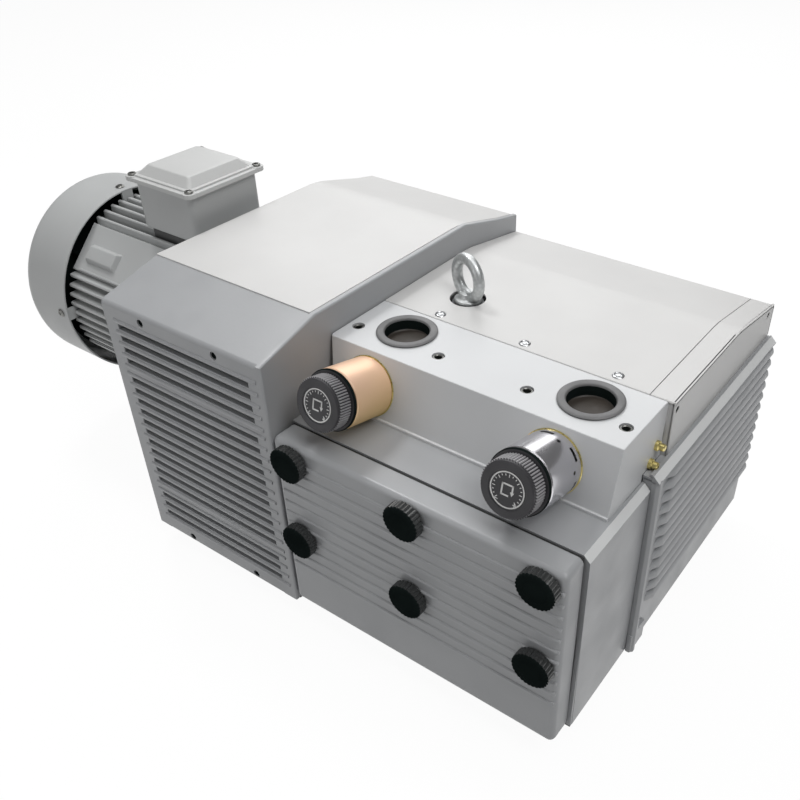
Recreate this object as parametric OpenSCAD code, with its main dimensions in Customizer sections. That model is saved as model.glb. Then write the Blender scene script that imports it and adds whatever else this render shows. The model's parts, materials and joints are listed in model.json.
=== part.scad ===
// Dry rotary vane vacuum pump with its flange motor, seen with the motor at -X and the
// filter cover facing -Y. Millimetres. The origin is the centre of the four feet on the floor.

/* [Cabinet] */
// Length of the coupling hood along the shaft
hood_l = 232; // [215:1:270]
// Length of the pump section along the shaft
pump_l = 336; // [330:1:380]
// Depth of the cabinet, front to back
body_d = 442; // [430:1:500]
// Height of the hood over its lower edge
hood_h = 331; // [325:1:350]
// Height of the straight front of the hood
hood_front_h = 310; // [304:1:322]
// Depth of the sloped front edge of the hood
hood_slope_d = 78; // [60:1:82]
// Distance from the back edge at which the hood top starts to fall
hood_fall_d = 111; // [95:1:120]
// Depth of the steeper fall of the hood behind that line
hood_fall_run = 77; // [60:1:85]
// Height of the hood where the steeper fall ends
hood_low_h = 311; // [306:1:318]
// Height of the back edge of the hood
hood_back_h = 304; // [298:1:306]
// Wall of the cast front half of the hood
cast_wall = 5; // [4:0.5:7]
// Thickness of the sheet covers
sheet_t = 2.5; // [1.5:0.5:3.5]
// Thickness of the two upright plates that close the hood
plate_t = 6; // [5:0.5:8]
// Height of the pump section over its lower edge
pump_h = 301; // [300:1:315]
// Height of the back edge of the pump section
pump_back_h = 283; // [270:1:292]
// Distance from the back edge at which the pump top starts to fall
pump_fall_d = 107; // [95:1:120]
// Thickness of the base plate
base_t = 6; // [5:0.5:10]
// Visible joint between two covers
seam = 1; // [0.5:0.1:2]

/* [Air slots] */
// Number of slots in the upper, middle and lower group
slot_groups = [4, 11, 3];
// Distance between two slots
slot_pitch = 14; // [12:0.25:14.5]
// Distance across the plain band between two groups
slot_band = 24; // [20:0.5:26]
// Height of one slot
slot_h = 6; // [4:0.5:8]
// Distance of the first slot under the straight edge of the front
slot_drop = 26; // [22:1:30]
// Plain margin at the two ends of a slot
slot_margin = 20; // [14:1:34]
// Width of the low ridge on each bar between the slots
ridge_w = 6; // [4:0.5:7]
// Height of that ridge over the face
ridge_h = 1.2; // [0.8:0.1:1.4]

/* [Filter cover] */
// Length of the filter cover
cover_l = 331; // [325:1:345]
// Depth of the filter cover
cover_d = 31; // [28:1:36]
// Height of the filter cover over the lower edge of the cabinet
cover_top_h = 233; // [230:1:240]
// Gap between the lower edge of the cabinet and the filter cover
cover_bottom_h = 8; // [6:1:14]
// Wall of the filter cover
cover_wall = 6; // [5:0.5:8]
// Radius of the rounded edges of the filter cover
cover_edge_r = 6; // [3:0.5:8]
// Distance of the first rib under the upper edge of the filter cover
rib_drop = 21; // [18:0.5:24]
// Number of ribs on the filter cover
rib_n = 11; // [9:1:12]
// Distance between two ribs
rib_pitch = 14.4; // [12:0.1:15]
// Height of a rib over the face
rib_h = 1.5; // [1:0.1:2]
// Width of a rib
rib_w = 4; // [3:0.5:6]

/* [Hand knobs] */
// Radius of a hand knob
knob_r = 19.5; // [17:0.5:22]
// Height of a hand knob
knob_h = 11; // [9:0.5:16]
// Radius of the stud in a hand knob
stud_r = 4; // [4:0.5:5]
// Radial clearance of a turning stud in its thread
thread_fit = 0.05; // [0.03:0.01:0.08]
// Distance between the left and the right knobs
knob_span_x = 282; // [272:1:284]
// Distance between the upper and the lower knobs
knob_span_z = 101; // [96:1:108]
// Height of the upper knobs over the lower edge of the cabinet
knob_top_h = 214; // [210:1:218]

/* [Filters] */
// Depth of the cast filter housing behind the cover
housing_d = 82; // [80:1:82]
// Radius of a filter chamber
chamber_r = 50; // [46:0.5:52]
// Depth of a filter chamber
chamber_d = 68; // [64:0.5:70]
// Radius of a filter cartridge
cartridge_r = 44; // [38:0.5:45]

/* [Valve block] */
// Distance from the front of the cabinet to the upper front edge of the valve block
block_front_d = 95; // [92:1:100]
// Distance from the front of the cabinet to the back of the valve block
block_back_d = 180; // [176:1:184]
// Height of the valve block
block_h = 68; // [66:1:70]
// Lean of the front face of the block and of the valves, in degrees
valve_tilt = 14; // [10:0.5:16]
// Size of the cut corner at the left end of the block
block_cut = 16; // [10:1:20]
// Thickness of the rear part of the block, which hangs over the cylinder
block_top_t = 41; // [40:0.5:42]
// Distance from the seam of the hood to the left port
port_x_left = 61; // [56:1:70]
// Distance between the two ports
port_span = 208; // [200:1:212]
// Distance from the front of the cabinet to the ports
port_d = 142; // [140:0.5:144]
// Radius of the thread in a port
port_r = 23.9; // [20:0.1:24.4]
// Length of the thread in a port
port_thread_l = 18; // [16:0.5:18]
// Depth of the smooth mouth over the thread
port_mouth_l = 16; // [14:0.5:17]
// Radius of the flange of a port plug
plug_flange_r = 31; // [29:0.5:33]
// Thickness of the flange of a port plug
plug_flange_t = 3; // [2:0.5:4]
// Wall of a port plug
plug_wall = 1.8; // [1.4:0.1:2.4]

/* [Regulating valves] */
// Distance from the port to the valve beside it, along the shaft
valve_shift = 6; // [2:0.5:8]
// Height of the valve axis over the lower edge of the cabinet, at the face of the block
valve_axis_h = 265; // [263:0.5:267]
// Outer radius of a valve sleeve
sleeve_r = 30.5; // [29:0.5:31]
// Wall of a valve sleeve
sleeve_wall = 3.5; // [3:0.25:4]
// Length of a valve sleeve
sleeve_l = 48; // [44:0.5:54]
// Radius of the ring at the foot of a sleeve
ring_r = 32; // [31:0.5:32]
// Thickness of that ring
ring_t = 4; // [3:0.5:6]
// Radius of a regulating knob
dial_knob_r = 27; // [25:0.5:29]
// Length of a regulating knob
dial_knob_l = 18; // [16:0.5:24]
// Lift of a valve poppet
poppet_lift = 3; // [2:0.5:4]

/* [Pump] */
// Distance from the front of the cabinet to the shaft
shaft_d = 204; // [202:0.5:206]
// Height of the shaft over the lower edge of the cabinet
shaft_h = 185; // [183:0.5:186]
// Radius of the bore of the cylinder
bore_r = 75; // [70:0.5:76]
// Distance of the rotor axis from the bore axis
rotor_offset = 11; // [8:0.5:12]
// Gap between rotor and bore at the line where they nearly touch
rotor_gap = 0.3; // [0.2:0.05:0.5]
// Wall of the cylinder
cylinder_wall = 14; // [12:0.5:14]
// Length of the cylinder
cylinder_l = 240; // [220:1:250]
// Thickness of an end cover of the cylinder
end_cover_t = 22; // [18:1:26]
// Thickness of a vane
vane_t = 5; // [4:0.5:6]
// Height of a vane
vane_w = 38; // [32:1:40]
// Clearance of a vane in its slot, on each side
vane_fit = 0.05; // [0.03:0.01:0.1]
// Radius of the pump shaft
shaft_r = 16; // [14:0.5:18]
// Radial clearance of the shaft where it passes through a cover
shaft_gap = 0.5; // [0.3:0.1:1]

/* [Coupling and fan] */
// Radius of the coupling
coupling_r = 38; // [32:0.5:42]
// Radius of the cooling fan
fan_r = 112; // [100:1:120]
// Width of the cooling fan
fan_w = 45; // [35:1:50]
// Number of blades of the cooling fan
fan_blades = 12; // [8:1:16]

/* [Motor] */
// Radius over the fins of the motor
motor_fin_r = 117; // [112:0.5:119]
// Radius of the tube under the fins
motor_tube_r = 97; // [92:0.5:99]
// Inner radius of the motor tube
motor_bore_r = 88; // [84:0.5:89]
// Length of the finned motor housing
motor_l = 220; // [205:1:240]
// Distance between two fins
fin_pitch = 12; // [11:0.25:13]
// Thickness of a fin
fin_t = 3.2; // [2.5:0.1:4]
// Radius of the motor flange
flange_r = 120; // [114:0.5:124]
// Outer radius of the fan cowl
cowl_r = 128; // [125:0.5:132]
// Length of the fan cowl
cowl_l = 86; // [80:1:96]
// Sheet thickness of the fan cowl
cowl_t = 2; // [1.5:0.1:3]

/* [Terminal box] */
// Length of the lid of the terminal box along the shaft
lid_x = 114; // [104:1:120]
// Width of the lid across the shaft
lid_y = 120; // [110:1:124]
// Height of the upper edge of the lid flange over the lower edge of the cabinet
lid_h = 369; // [362:1:374]
// Distance from the motor plate to the lid
lid_gap = 14; // [12:1:24]
// Radius of the cable entry
entry_r = 16; // [12:0.5:20]

/* [Feet] */
// Height of a rubber foot
foot_h = 25; // [20:1:32]
// Radius of a rubber foot
foot_r = 25; // [20:0.5:28]
// Distance between the feet along the shaft
foot_span_x = 480; // [440:1:500]
// Distance between the feet across the shaft
foot_span_y = 330; // [300:1:350]
// Radius of the threaded hole in a foot
foot_hole_r = 4; // [3:0.1:5]

/* [Lifting eye] */
// Inner radius of the lifting ring
eye_r = 15; // [13:0.5:16]
// Radius of the bar of the lifting ring
eye_bar_r = 6; // [5:0.25:6.5]
// Distance from the seam of the hood to the lifting eye
eye_x = 70; // [64:1:80]
// Distance from the front of the cabinet to the lifting eye
eye_d = 235; // [230:1:240]
// Turn of the lifting ring about its shank, in degrees
eye_turn = -22; // [-45:1:0]

/* [Hidden] */
$fn = 64;
eps = 0.01;

// Planes of the cabinet
base_z = foot_h;
x_left = -(hood_l + pump_l) / 2;
x_right = x_left + hood_l + pump_l;
x_seam = x_left + hood_l;
y_front = -body_d / 2;
y_back = body_d / 2;
floor_top = base_z + base_t;

// Shaft, bore and rotor
shaft_y = y_front + shaft_d;
shaft_z = base_z + shaft_h;
bore_z = shaft_z - rotor_offset;
rotor_r = bore_r - rotor_offset - rotor_gap;
cylinder_r = bore_r + cylinder_wall;
cyl_x0 = x_seam + end_cover_t;
cyl_x1 = cyl_x0 + cylinder_l;
rotor_end_gap = 0.2;

// Valve block, ports and valves
block_top_z = base_z + pump_h;
block_z = block_top_z - block_h;
block_y = y_front + block_front_d;
block_back_y = y_front + block_back_d;
ledge_z = block_top_z - sheet_t;
ledge_d = 22;
block_x1 = x_right - 10;
port_y = y_front + port_d;
port_xs = [x_seam + port_x_left, x_seam + port_x_left + port_span];
mouth_r = port_r + 0.7;
valve_z = base_z + valve_axis_h;
valve_y = block_y - (block_top_z - valve_z) * tan(valve_tilt);
valve_xs = [port_xs[0] - valve_shift, port_xs[1] - valve_shift];
valve_bore_r = 18;
valve_bore_d = 26;
seat_r = 10;
spring_r = 11;
plate_gap = 1;

// Filter housing
housing_y0 = y_front + cover_d;
housing_y1 = housing_y0 + housing_d;
housing_top_z = base_z + cover_top_h;
knob_xc = x_seam + seam + cover_l / 2 + 1.5;
knob_xs = [for (i = [-1, 0, 1]) knob_xc + i * knob_span_x / 2];
knob_zs = [base_z + knob_top_h, base_z + knob_top_h - knob_span_z];
chamber_xs = [knob_xc - knob_span_x / 4, knob_xc + knob_span_x / 4];
chamber_z = (knob_zs[0] + knob_zs[1]) / 2;

// Coupling space
fan_x = x_seam - 78;
pump_hub_x = x_seam - 112;
hub_l = 28;
insert_l = 14;
motor_hub_x = pump_hub_x - insert_l - hub_l;

// Motor
motor_x1 = x_left;
motor_x0 = motor_x1 - motor_l;
cowl_x1 = motor_x0 + 3;
cowl_x0 = cowl_x1 - cowl_l;
tube_l = motor_l - 12;
motor_shaft_r = 19;
bearing_t = 20;
fan_gap = 12;

// Terminal box
lid_x1 = x_left - lid_gap;
lid_x0 = lid_x1 - lid_x;
lid_z = base_z + lid_h;
lid_flange_t = 5;
lid_rise = 12;
box_inset = 8;
box_wall = 4;
lid_y0 = shaft_y - lid_y / 2;

// Finished colours
grey = [0.66, 0.67, 0.68];
light = [0.80, 0.80, 0.79];
dark = [0.12, 0.12, 0.13];
steel = [0.72, 0.73, 0.75];
iron = [0.36, 0.37, 0.38];
brass = [0.78, 0.66, 0.34];

// Extrudes a (y, z) outline along +X from x
module along_x(x, l) {
    translate([x, 0, 0]) rotate([90, 0, 90]) linear_extrude(l) children();
}

// Extrudes an (x, z) outline from y1 towards -Y
module along_y(y1, l) {
    translate([0, y1, 0]) rotate([90, 0, 0]) linear_extrude(l) children();
}

// Round bar along +X
module bar_x(x, y, z, r, l) {
    translate([x, y, z]) rotate([0, 90, 0]) cylinder(r = r, h = l);
}

// Round bar along +Y
module bar_y(x, y, z, r, l) {
    translate([x, y, z]) rotate([-90, 0, 0]) cylinder(r = r, h = l);
}

// Tube along +X
module tube_x(x, y, z, ro, ri, l) {
    difference() {
        bar_x(x, y, z, ro, l);
        bar_x(x - 1, y, z, ri, l + 2);
    }
}

// Rectangle with its lower left corner at the origin and round corners
module rounded(w, h, r) {
    translate([r, 0]) square([w - 2 * r, h]);
    translate([0, r]) square([w, h - 2 * r]);
    for (x = [r, w - r], y = [r, h - r]) translate([x, y]) circle(r);
}

// Places children with +Z along the axis of a regulating valve, from the face of the block
module at_valve(i) {
    translate([valve_xs[i], valve_y, valve_z]) rotate([90 - valve_tilt, 0, 0]) children();
}

// Outline of the hood, taken in by t, with its lower edge at z0
function hood_outline(t, z0) = [
    [y_front + t, z0],
    [y_front + t, base_z + hood_front_h - t * 0.6],
    [y_front + hood_slope_d + t * 0.3, base_z + hood_h - t],
    [y_back - hood_fall_d - t * 0.3, base_z + hood_h - t],
    [y_back - hood_fall_d + hood_fall_run - t * 0.3, base_z + hood_low_h - t],
    [y_back - t, base_z + hood_back_h - t],
    [y_back - t, z0]];

// Outline of the pump section over the valve block, taken in by t
function pump_outline(t, y0, z0) = [
    [y0, z0],
    [y0, block_top_z - t],
    [y_back - pump_fall_d - t * 0.2, block_top_z - t],
    [y_back - t, base_z + pump_back_h - t],
    [y_back - t, z0]];

// Base and feet

module base_plate() {
    color(iron) difference() {
        translate([x_left + plate_t, y_front + cast_wall, base_z])
            cube([hood_l + pump_l - plate_t - sheet_t, body_d - cast_wall - sheet_t, base_t]);
        for (x = [-1, 1], y = [-1, 1])
            translate([x * foot_span_x / 2, y * foot_span_y / 2, base_z - 1])
                cylinder(r = foot_hole_r, h = base_t + 2);
        // Air opening under the fan
        translate([x_left + 60, -70, base_z - 1]) cube([hood_l - 90, 140, base_t + 2]);
    }
}

module rubber_feet() {
    color(dark) for (x = [-1, 1], y = [-1, 1])
        translate([x * foot_span_x / 2, y * foot_span_y / 2, 0]) difference() {
            rotate_extrude() polygon([[0, 0], [foot_r - 1, 0], [foot_r, 1], [foot_r, foot_h * 0.3],
                [foot_r - 2.5, foot_h * 0.5], [foot_r, foot_h * 0.7], [foot_r, foot_h],
                [0, foot_h]]);
            translate([0, 0, -1]) cylinder(r = foot_hole_r, h = foot_h * 0.6 + 1);
        }
}

// Hood

slot_z = base_z + hood_front_h - slot_drop;
slot_count = slot_groups[0] + slot_groups[1] + slot_groups[2];
function slot_extra(i) = (i >= slot_groups[0] ? 1 : 0) + (i >= slot_groups[0] + slot_groups[1] ? 1 : 0);
function slot_at(i) = slot_z - i * slot_pitch - slot_extra(i) * (slot_band - slot_pitch);

// Heights of the ridges: one under each slot and one over the first slot of each group
ridge_zs = concat([for (i = [0:slot_count - 1]) slot_at(i) - slot_pitch / 2],
    [for (i = [0, slot_groups[0], slot_groups[0] + slot_groups[1]]) slot_at(i) + slot_pitch / 2]);

module hood_front() {
    split_y = y_front + hood_slope_d;
    color(grey) difference() {
        union() {
            along_x(x_left, hood_l - plate_t) difference() {
                intersection() {
                    polygon(hood_outline(0, base_z));
                    translate([y_front - 1, 0]) square([hood_slope_d + 1, base_z + hood_h + 1]);
                }
                polygon(concat([[y_front + cast_wall, base_z - 1]],
                    [for (p = [1, 2, 3]) hood_outline(cast_wall, base_z)[p]],
                    [[split_y + 100, base_z - 1]]));
            }
            for (z = ridge_zs) along_x(x_left + slot_margin - 6, hood_l - plate_t - slot_margin + 6)
                polygon([[y_front + 1, z - ridge_w / 2], [y_front, z - ridge_w / 2],
                    [y_front - ridge_h, z - ridge_w / 2 + ridge_h], [y_front - ridge_h, z + ridge_w / 2 - ridge_h],
                    [y_front, z + ridge_w / 2], [y_front + 1, z + ridge_w / 2]]);
        }
        for (i = [0:slot_count - 1])
            translate([x_left + slot_margin, y_front - 3, slot_at(i) - slot_h / 2])
                cube([hood_l - plate_t - slot_margin - 14, cast_wall + 4, slot_h]);
        for (x = hood_screw_xs, z = hood_screw_zs) bar_y(x, y_front - 1, z, 3.5, 3);
    }
    // Rear edge on which the top panel lies
    color(grey) along_x(x_left + plate_t, hood_l - 2 * plate_t)
        polygon([[split_y - 6, base_z + hood_h - cast_wall - 4], [split_y + 14, base_z + hood_h - cast_wall - 4],
            [split_y + 14, base_z + hood_h - sheet_t], [split_y, base_z + hood_h - sheet_t],
            [split_y, base_z + hood_h - cast_wall], [split_y - 6, base_z + hood_h - cast_wall]]);
}

module hood_top() {
    color(light) along_x(x_left, hood_l - plate_t) difference() {
        polygon(concat([[y_front + hood_slope_d + seam, base_z + hood_h - sheet_t],
            [y_front + hood_slope_d + seam, base_z + hood_h]],
            [for (i = [3:6]) hood_outline(0, base_z)[i]],
            [hood_outline(sheet_t, base_z)[6]],
            [for (i = [5, 4, 3]) hood_outline(sheet_t, base_z)[i]]));
    }
}

module motor_plate() {
    color(grey) difference() {
        along_x(x_left, plate_t) {
            split = hood_slope_d + 14;
            intersection() {
                polygon(hood_outline(cast_wall, base_z));
                translate([y_front, base_z]) square([split, hood_h]);
            }
            intersection() {
                polygon(hood_outline(sheet_t, base_z));
                translate([y_front + split, base_z]) square([body_d - split, hood_h]);
            }
        }
        bar_x(x_left - 1, shaft_y, shaft_z, 60, plate_t + 2);
        for (a = [45:90:359])
            bar_x(x_left - 1, shaft_y + cos(a) * (flange_r - 14), shaft_z + sin(a) * (flange_r - 14),
                5, plate_t + 2);
    }
}

module bulkhead() {
    color(grey) difference() {
        along_x(x_seam - plate_t, plate_t) polygon(hood_outline(0, base_z));
        bar_x(x_seam - plate_t - 1, shaft_y, shaft_z, 45, plate_t + 2);
        // Slot for the base plate
        translate([x_seam - plate_t - 1, y_front + cast_wall, base_z - 1])
            cube([plate_t + 2, body_d - cast_wall - sheet_t, base_t + 1]);
    }
}

// Filter housing and cylinder

module filter_housing() {
    color(grey) difference() {
        union() {
            translate([x_seam, housing_y0, floor_top])
                cube([pump_l - sheet_t, housing_d, housing_top_z - floor_top]);
            // Front flange down to the lower edge
            translate([x_seam, housing_y0, base_z + cover_bottom_h])
                cube([pump_l, 12, housing_top_z - base_z - cover_bottom_h]);
            // Right cheek that carries the louvre panel
            translate([x_right - 8, housing_y0, base_z + cover_bottom_h])
                cube([8, panel_y0 + seam - housing_y0, housing_top_z - base_z - cover_bottom_h]);
            // Ledge between the block and the louvre panel
            translate([block_x1 + 0.5, housing_y1 - 1, housing_top_z - 8])
                cube([x_right - block_x1 - 0.5, panel_y0 + seam - housing_y1 + 1, 8]);
        }
        for (x = chamber_xs) bar_y(x, housing_y0 - 1, chamber_z, chamber_r, chamber_d + 1);
        for (x = knob_xs, z = knob_zs) bar_y(x, housing_y0 - 1, z, stud_r + thread_fit, 23);
        // Ducts up into the valve block
        for (x = duct_xs) translate([x, duct_y, chamber_z]) cylinder(r = duct_r, h = 200);
        // Ducts back into the cylinder
        for (x = chamber_xs) bar_y(x, housing_y1 - 20, neck_z, neck_r, 40);
    }
}
duct_r = 7.5;
duct_y = housing_y1 - duct_r - 4.5;
duct_xs = [port_xs[0] + port_r, port_xs[1] - port_r];
neck_z = bore_z - 10;
neck_r = 12;

module filter_cartridges() {
    color([0.85, 0.83, 0.76]) for (x = chamber_xs) {
        difference() {
            union() {
                bar_y(x, housing_y0 + 2, chamber_z, cartridge_r, chamber_d - 2);
                for (y = [2, chamber_d - 8]) bar_y(x, housing_y0 + y, chamber_z, cartridge_r + 3, 6);
            }
            bar_y(x, housing_y0 + 1, chamber_z, cartridge_r * 0.5, chamber_d - 10);
        }
    }
}

module pump_cylinder() {
    color(iron) difference() {
        union() {
            bar_x(cyl_x0, shaft_y, bore_z, cylinder_r, cylinder_l);
            for (x = [0, cylinder_l - 14])
                bar_x(cyl_x0 + x, shaft_y, bore_z, cylinder_r, 14);
            // Cooling ribs round the back of the cylinder
            difference() {
                for (i = [1:9])
                    bar_x(cyl_x0 + i * cylinder_l / 10 - 2, shaft_y, bore_z, cylinder_r + 16, 4);
                translate([cyl_x0 - 1, shaft_y - cylinder_r * 2, bore_z - cylinder_r * 2])
                    cube([cylinder_l + 2, cylinder_r * 2 + 10, cylinder_r * 4]);
            }
            // Foot of the cylinder
            translate([cyl_x0, shaft_y - 60, floor_top]) cube([cylinder_l, 120, 70]);
            // Neck to the filter housing
            translate([cyl_x0 + 40, housing_y1, neck_z - 30]) cube([cylinder_l - 80, 60, 60]);
            // Boss of the lifting eye
            translate([x_seam + eye_x, y_front + eye_d, bore_z]) cylinder(r = eye_boss_r, h = eye_z - bore_z);
        }
        bar_x(cyl_x0 - 1, shaft_y, bore_z, bore_r, cylinder_l + 2);
        for (x = chamber_xs) bar_y(x, housing_y1 - 1, neck_z, neck_r, 60);
        translate([x_seam + eye_x, y_front + eye_d, eye_z - 26]) cylinder(r = shank_r + thread_fit, h = 40);
    }
}

module end_cover(x) {
    difference() {
        bar_x(x, shaft_y, bore_z, cylinder_r, end_cover_t);
        bar_x(x - 1, shaft_y, shaft_z, shaft_r + shaft_gap, end_cover_t + 2);
    }
}

module end_cover_drive() {
    color(iron) difference() {
        union() {
            end_cover(x_seam);
            tube_x(x_seam - bearing_t, shaft_y, shaft_z, 44, bearing_ro, bearing_t);
        }
        bar_x(x_seam - 1, shaft_y, shaft_z, shaft_r + shaft_gap, end_cover_t + 2);
    }
}
bearing_ro = 36;

module end_cover_free() {
    color(iron) {
        difference() {
            union() {
                end_cover(cyl_x1);
                tube_x(cyl_x1 + end_cover_t, shaft_y, shaft_z, 44, bearing_ro, bearing_t);
            }
            bar_x(cyl_x1 - 1, shaft_y, shaft_z, shaft_r + shaft_gap, end_cover_t + 2);
        }
        bar_x(cyl_x1 + end_cover_t + bearing_t, shaft_y, shaft_z, 44, 4);
    }
}

module bearing(x, ri) {
    difference() {
        bar_x(x, shaft_y, shaft_z, bearing_ro, bearing_t);
        bar_x(x - 1, shaft_y, shaft_z, ri + thread_fit, bearing_t + 2);
        difference() {
            bar_x(x - 1, shaft_y, shaft_z, bearing_ro - 6, 3);
            bar_x(x - 2, shaft_y, shaft_z, ri + 5, 5);
        }
        difference() {
            bar_x(x + bearing_t - 2, shaft_y, shaft_z, bearing_ro - 6, 3);
            bar_x(x + bearing_t - 3, shaft_y, shaft_z, ri + 5, 5);
        }
    }
}

module shaft_bearings() {
    color(steel) {
        bearing(x_seam - bearing_t, shaft_r);
        bearing(cyl_x1 + end_cover_t, shaft_r);
        bearing(motor_x1 - bearing_t - 4, motor_shaft_r);
        bearing(motor_x0 + 8, motor_shaft_r);
    }
}

// Covers of the pump section

band_x0 = x_right - 28;
band_x1 = x_right - 3;
lip_z = base_z + 246;
panel_x1 = x_right + 8;
panel_y0 = y_front + 143;
panel_z0 = base_z + 6;

module top_cover() {
    eye_hole_r = 19.5;
    color(light) difference() {
        along_x(x_seam + seam, band_x0 - x_seam - 2 * seam) polygon(concat(
            [for (i = [1, 2, 3, 4]) pump_outline(0, block_back_y + seam, base_z + 200)[i]],
            [for (i = [4, 3, 2]) pump_outline(sheet_t, block_back_y + seam, base_z + 200)[i]],
            [[block_back_y + seam, block_top_z - sheet_t]]));
        translate([x_seam + eye_x, y_front + eye_d, block_top_z - 20]) cylinder(r = eye_hole_r, h = 40);
    }
}

module rear_panel() {
    color(grey) difference() {
        translate([x_seam + seam, y_back - sheet_t, base_z])
            cube([pump_l - seam - sheet_t - 3, sheet_t, 200 - seam]);
        for (i = [0:9]) translate([x_seam + 60, y_back - 5, base_z + 34 + i * slot_pitch])
            cube([pump_l - 130, 10, slot_h]);
    }
}

module end_band() {
    color(light) union() {
        // Top strip and back edge
        along_x(band_x0, band_x1 - band_x0) polygon(concat(
            [for (i = [1, 2, 3, 4]) pump_outline(0, block_back_y + seam, lip_z)[i]],
            [for (i = [4, 3, 2]) pump_outline(sheet_t, block_back_y + seam, lip_z)[i]],
            [[block_back_y + seam, block_top_z - sheet_t]]));
        // Side of the band
        along_x(band_x1 - sheet_t, sheet_t)
            polygon(pump_outline(0, block_back_y + seam, lip_z));
    }
}

louvre_n = 12;
louvre_pitch = 15;

module louvre_panel() {
    top_z = lip_z - seam;
    depth_l = y_back - panel_y0;
    color(grey) difference() {
        union() {
            // Lower and rear sheet of the panel
            translate([x_right, panel_y0, panel_z0]) cube([3, depth_l, top_z - panel_z0]);
            // Bevelled lip along the upper edge and down the front edge
            along_y(y_back, depth_l) polygon([[x_right, top_z - 8], [panel_x1, top_z - 8],
                [panel_x1, top_z - 4], [panel_x1 - 4, top_z], [x_right, top_z]]);
            translate([0, 0, panel_z0]) linear_extrude(top_z - panel_z0 - 8) polygon([[x_right, panel_y0],
                [panel_x1 - 4, panel_y0], [panel_x1, panel_y0 + 4], [panel_x1, panel_y0 + 8], [x_right, panel_y0 + 8]]);
            // Inner flange that closes the gap to the block and the end band
            translate([band_x1 - 2, panel_y0, top_z - 8]) cube([x_right - band_x1 + 3, depth_l, 3]);
            translate([block_x1 + 0.5, panel_y0, top_z - 8])
                cube([x_right - block_x1, block_back_y - panel_y0 + seam, 3]);
            // Louvre blades, each a wedge that opens downwards
            for (i = [0:louvre_n - 1])
                translate([x_right + 3, panel_y0 + 22, top_z - 12 - i * louvre_pitch])
                    rotate([-90, 0, 0]) linear_extrude(depth_l - 22)
                        polygon([[-1, 0], [0, 0], [5, 9], [5, 11], [-1, 11]]);
        }
        // Hollow of each louvre, open downwards
        for (i = [0:louvre_n - 1])
            translate([x_right + 3, panel_y0 + 34, top_z - 12 - i * louvre_pitch])
                rotate([-90, 0, 0]) linear_extrude(depth_l - 48)
                    polygon([[-5, 3.5], [0, 3.5], [3.6, 9.6], [3.6, 12.5], [0, 12.5], [-5, 12.5]]);
    }
    // Frame strips that seat the panel on the cabinet
    color(grey) difference() {
        translate([x_right - sheet_t, panel_y0 + 90, panel_z0]) cube([sheet_t, depth_l - 90, top_z - panel_z0]);
        translate([x_right - 5, panel_y0 + 110, panel_z0 + 30]) cube([10, depth_l - 130, top_z - panel_z0 - 50]);
    }
}

// Valve block

module valve_block() {
    lean = block_h * tan(valve_tilt);
    lip = 6;
    color(grey) difference() {
        union() {
            along_x(x_seam + seam, block_x1 - x_seam - seam) polygon([
                [block_y - lean + lip * tan(valve_tilt), block_z + lip],
                [block_y - block_bevel * tan(valve_tilt), block_top_z - block_bevel], [block_y + block_bevel, block_top_z],
                [block_back_y, block_top_z], [block_back_y, ledge_z],
                [block_back_y + ledge_d, ledge_z], [block_back_y + ledge_d, ledge_z - 10],
                [block_back_y, ledge_z - 22], [block_back_y, block_top_z - block_top_t],
                [housing_y1 + 28, block_top_z - block_top_t], [housing_y1 + 28, block_z + 7],
                [housing_y1, block_z + 7], [housing_y1, block_z],
                [block_y - lean - 1.5, block_z], [block_y - lean - 1.5, block_z + lip]]);
        }
        // Bevel along the right end
        along_y(block_back_y + 1, 200) polygon([[block_x1 - block_bevel, block_top_z + eps],
            [block_x1 + 1, block_top_z + eps], [block_x1 + 1, block_top_z - block_bevel - 1]]);
        // Cut corner at the left end
        translate([x_seam, block_y - lean - 1, block_z - 1]) rotate([0, 0, 0])
            linear_extrude(block_h + 2) polygon([[-1, -1], [block_cut, -1], [-1, block_cut + lean * 0.6]]);
        for (i = [0, 1]) {
            translate([port_xs[i], port_y, block_top_z - port_mouth_l]) cylinder(r = mouth_r, h = 50);
            translate([port_xs[i], port_y, block_top_z - port_mouth_l - port_thread_l])
                cylinder(r = port_r, h = 50);
            at_valve(i) {
                cylinder(r = ring_r + 0.3, h = 60);
                translate([0, 0, -valve_bore_d]) cylinder(r = valve_bore_r, h = 60);
                translate([0, 0, -valve_bore_d - 14]) cylinder(r = seat_r, h = 30);
            }
            // Duct from the filter chamber to the port
            translate([duct_xs[i], duct_y, block_z - 1])
                cylinder(r = duct_r, h = block_top_z - port_mouth_l - 9 - block_z);
            bar_y(duct_xs[i], duct_y, block_top_z - port_mouth_l - 10, duct_r, port_y - duct_y);
            // Duct from the port to the seat of the valve
            translate([valve_xs[i], port_y - 14, block_z + 12])
                cylinder(r = seat_r - 2, h = block_h - port_mouth_l - 14);
        }
        for (x = block_screw_xs) translate([x, block_screw_y, block_top_z - 9]) cylinder(r = 6.5, h = 20);
    }
}
block_bevel = 2;
block_screw_y = y_front + 124;
block_screw_xs = [port_xs[0] - 48, port_xs[0] + 52, port_xs[1] - 56, block_x1 - 13];

hood_screw_xs = [x_left + 60, x_seam - 64];
hood_screw_zs = [base_z + 5, base_z + hood_front_h - 9];

module black_screws() {
    color(dark) {
        for (x = block_screw_xs) translate([x, block_screw_y, block_top_z - 9]) difference() {
            cylinder(r = 6, h = 7);
            translate([0, 0, 3]) cylinder(r = 3, h = 6, $fn = 6);
        }
        for (x = hood_screw_xs, z = hood_screw_zs) bar_y(x, y_front + 0.8, z, 3.4, 1.2);
    }
}

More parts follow.
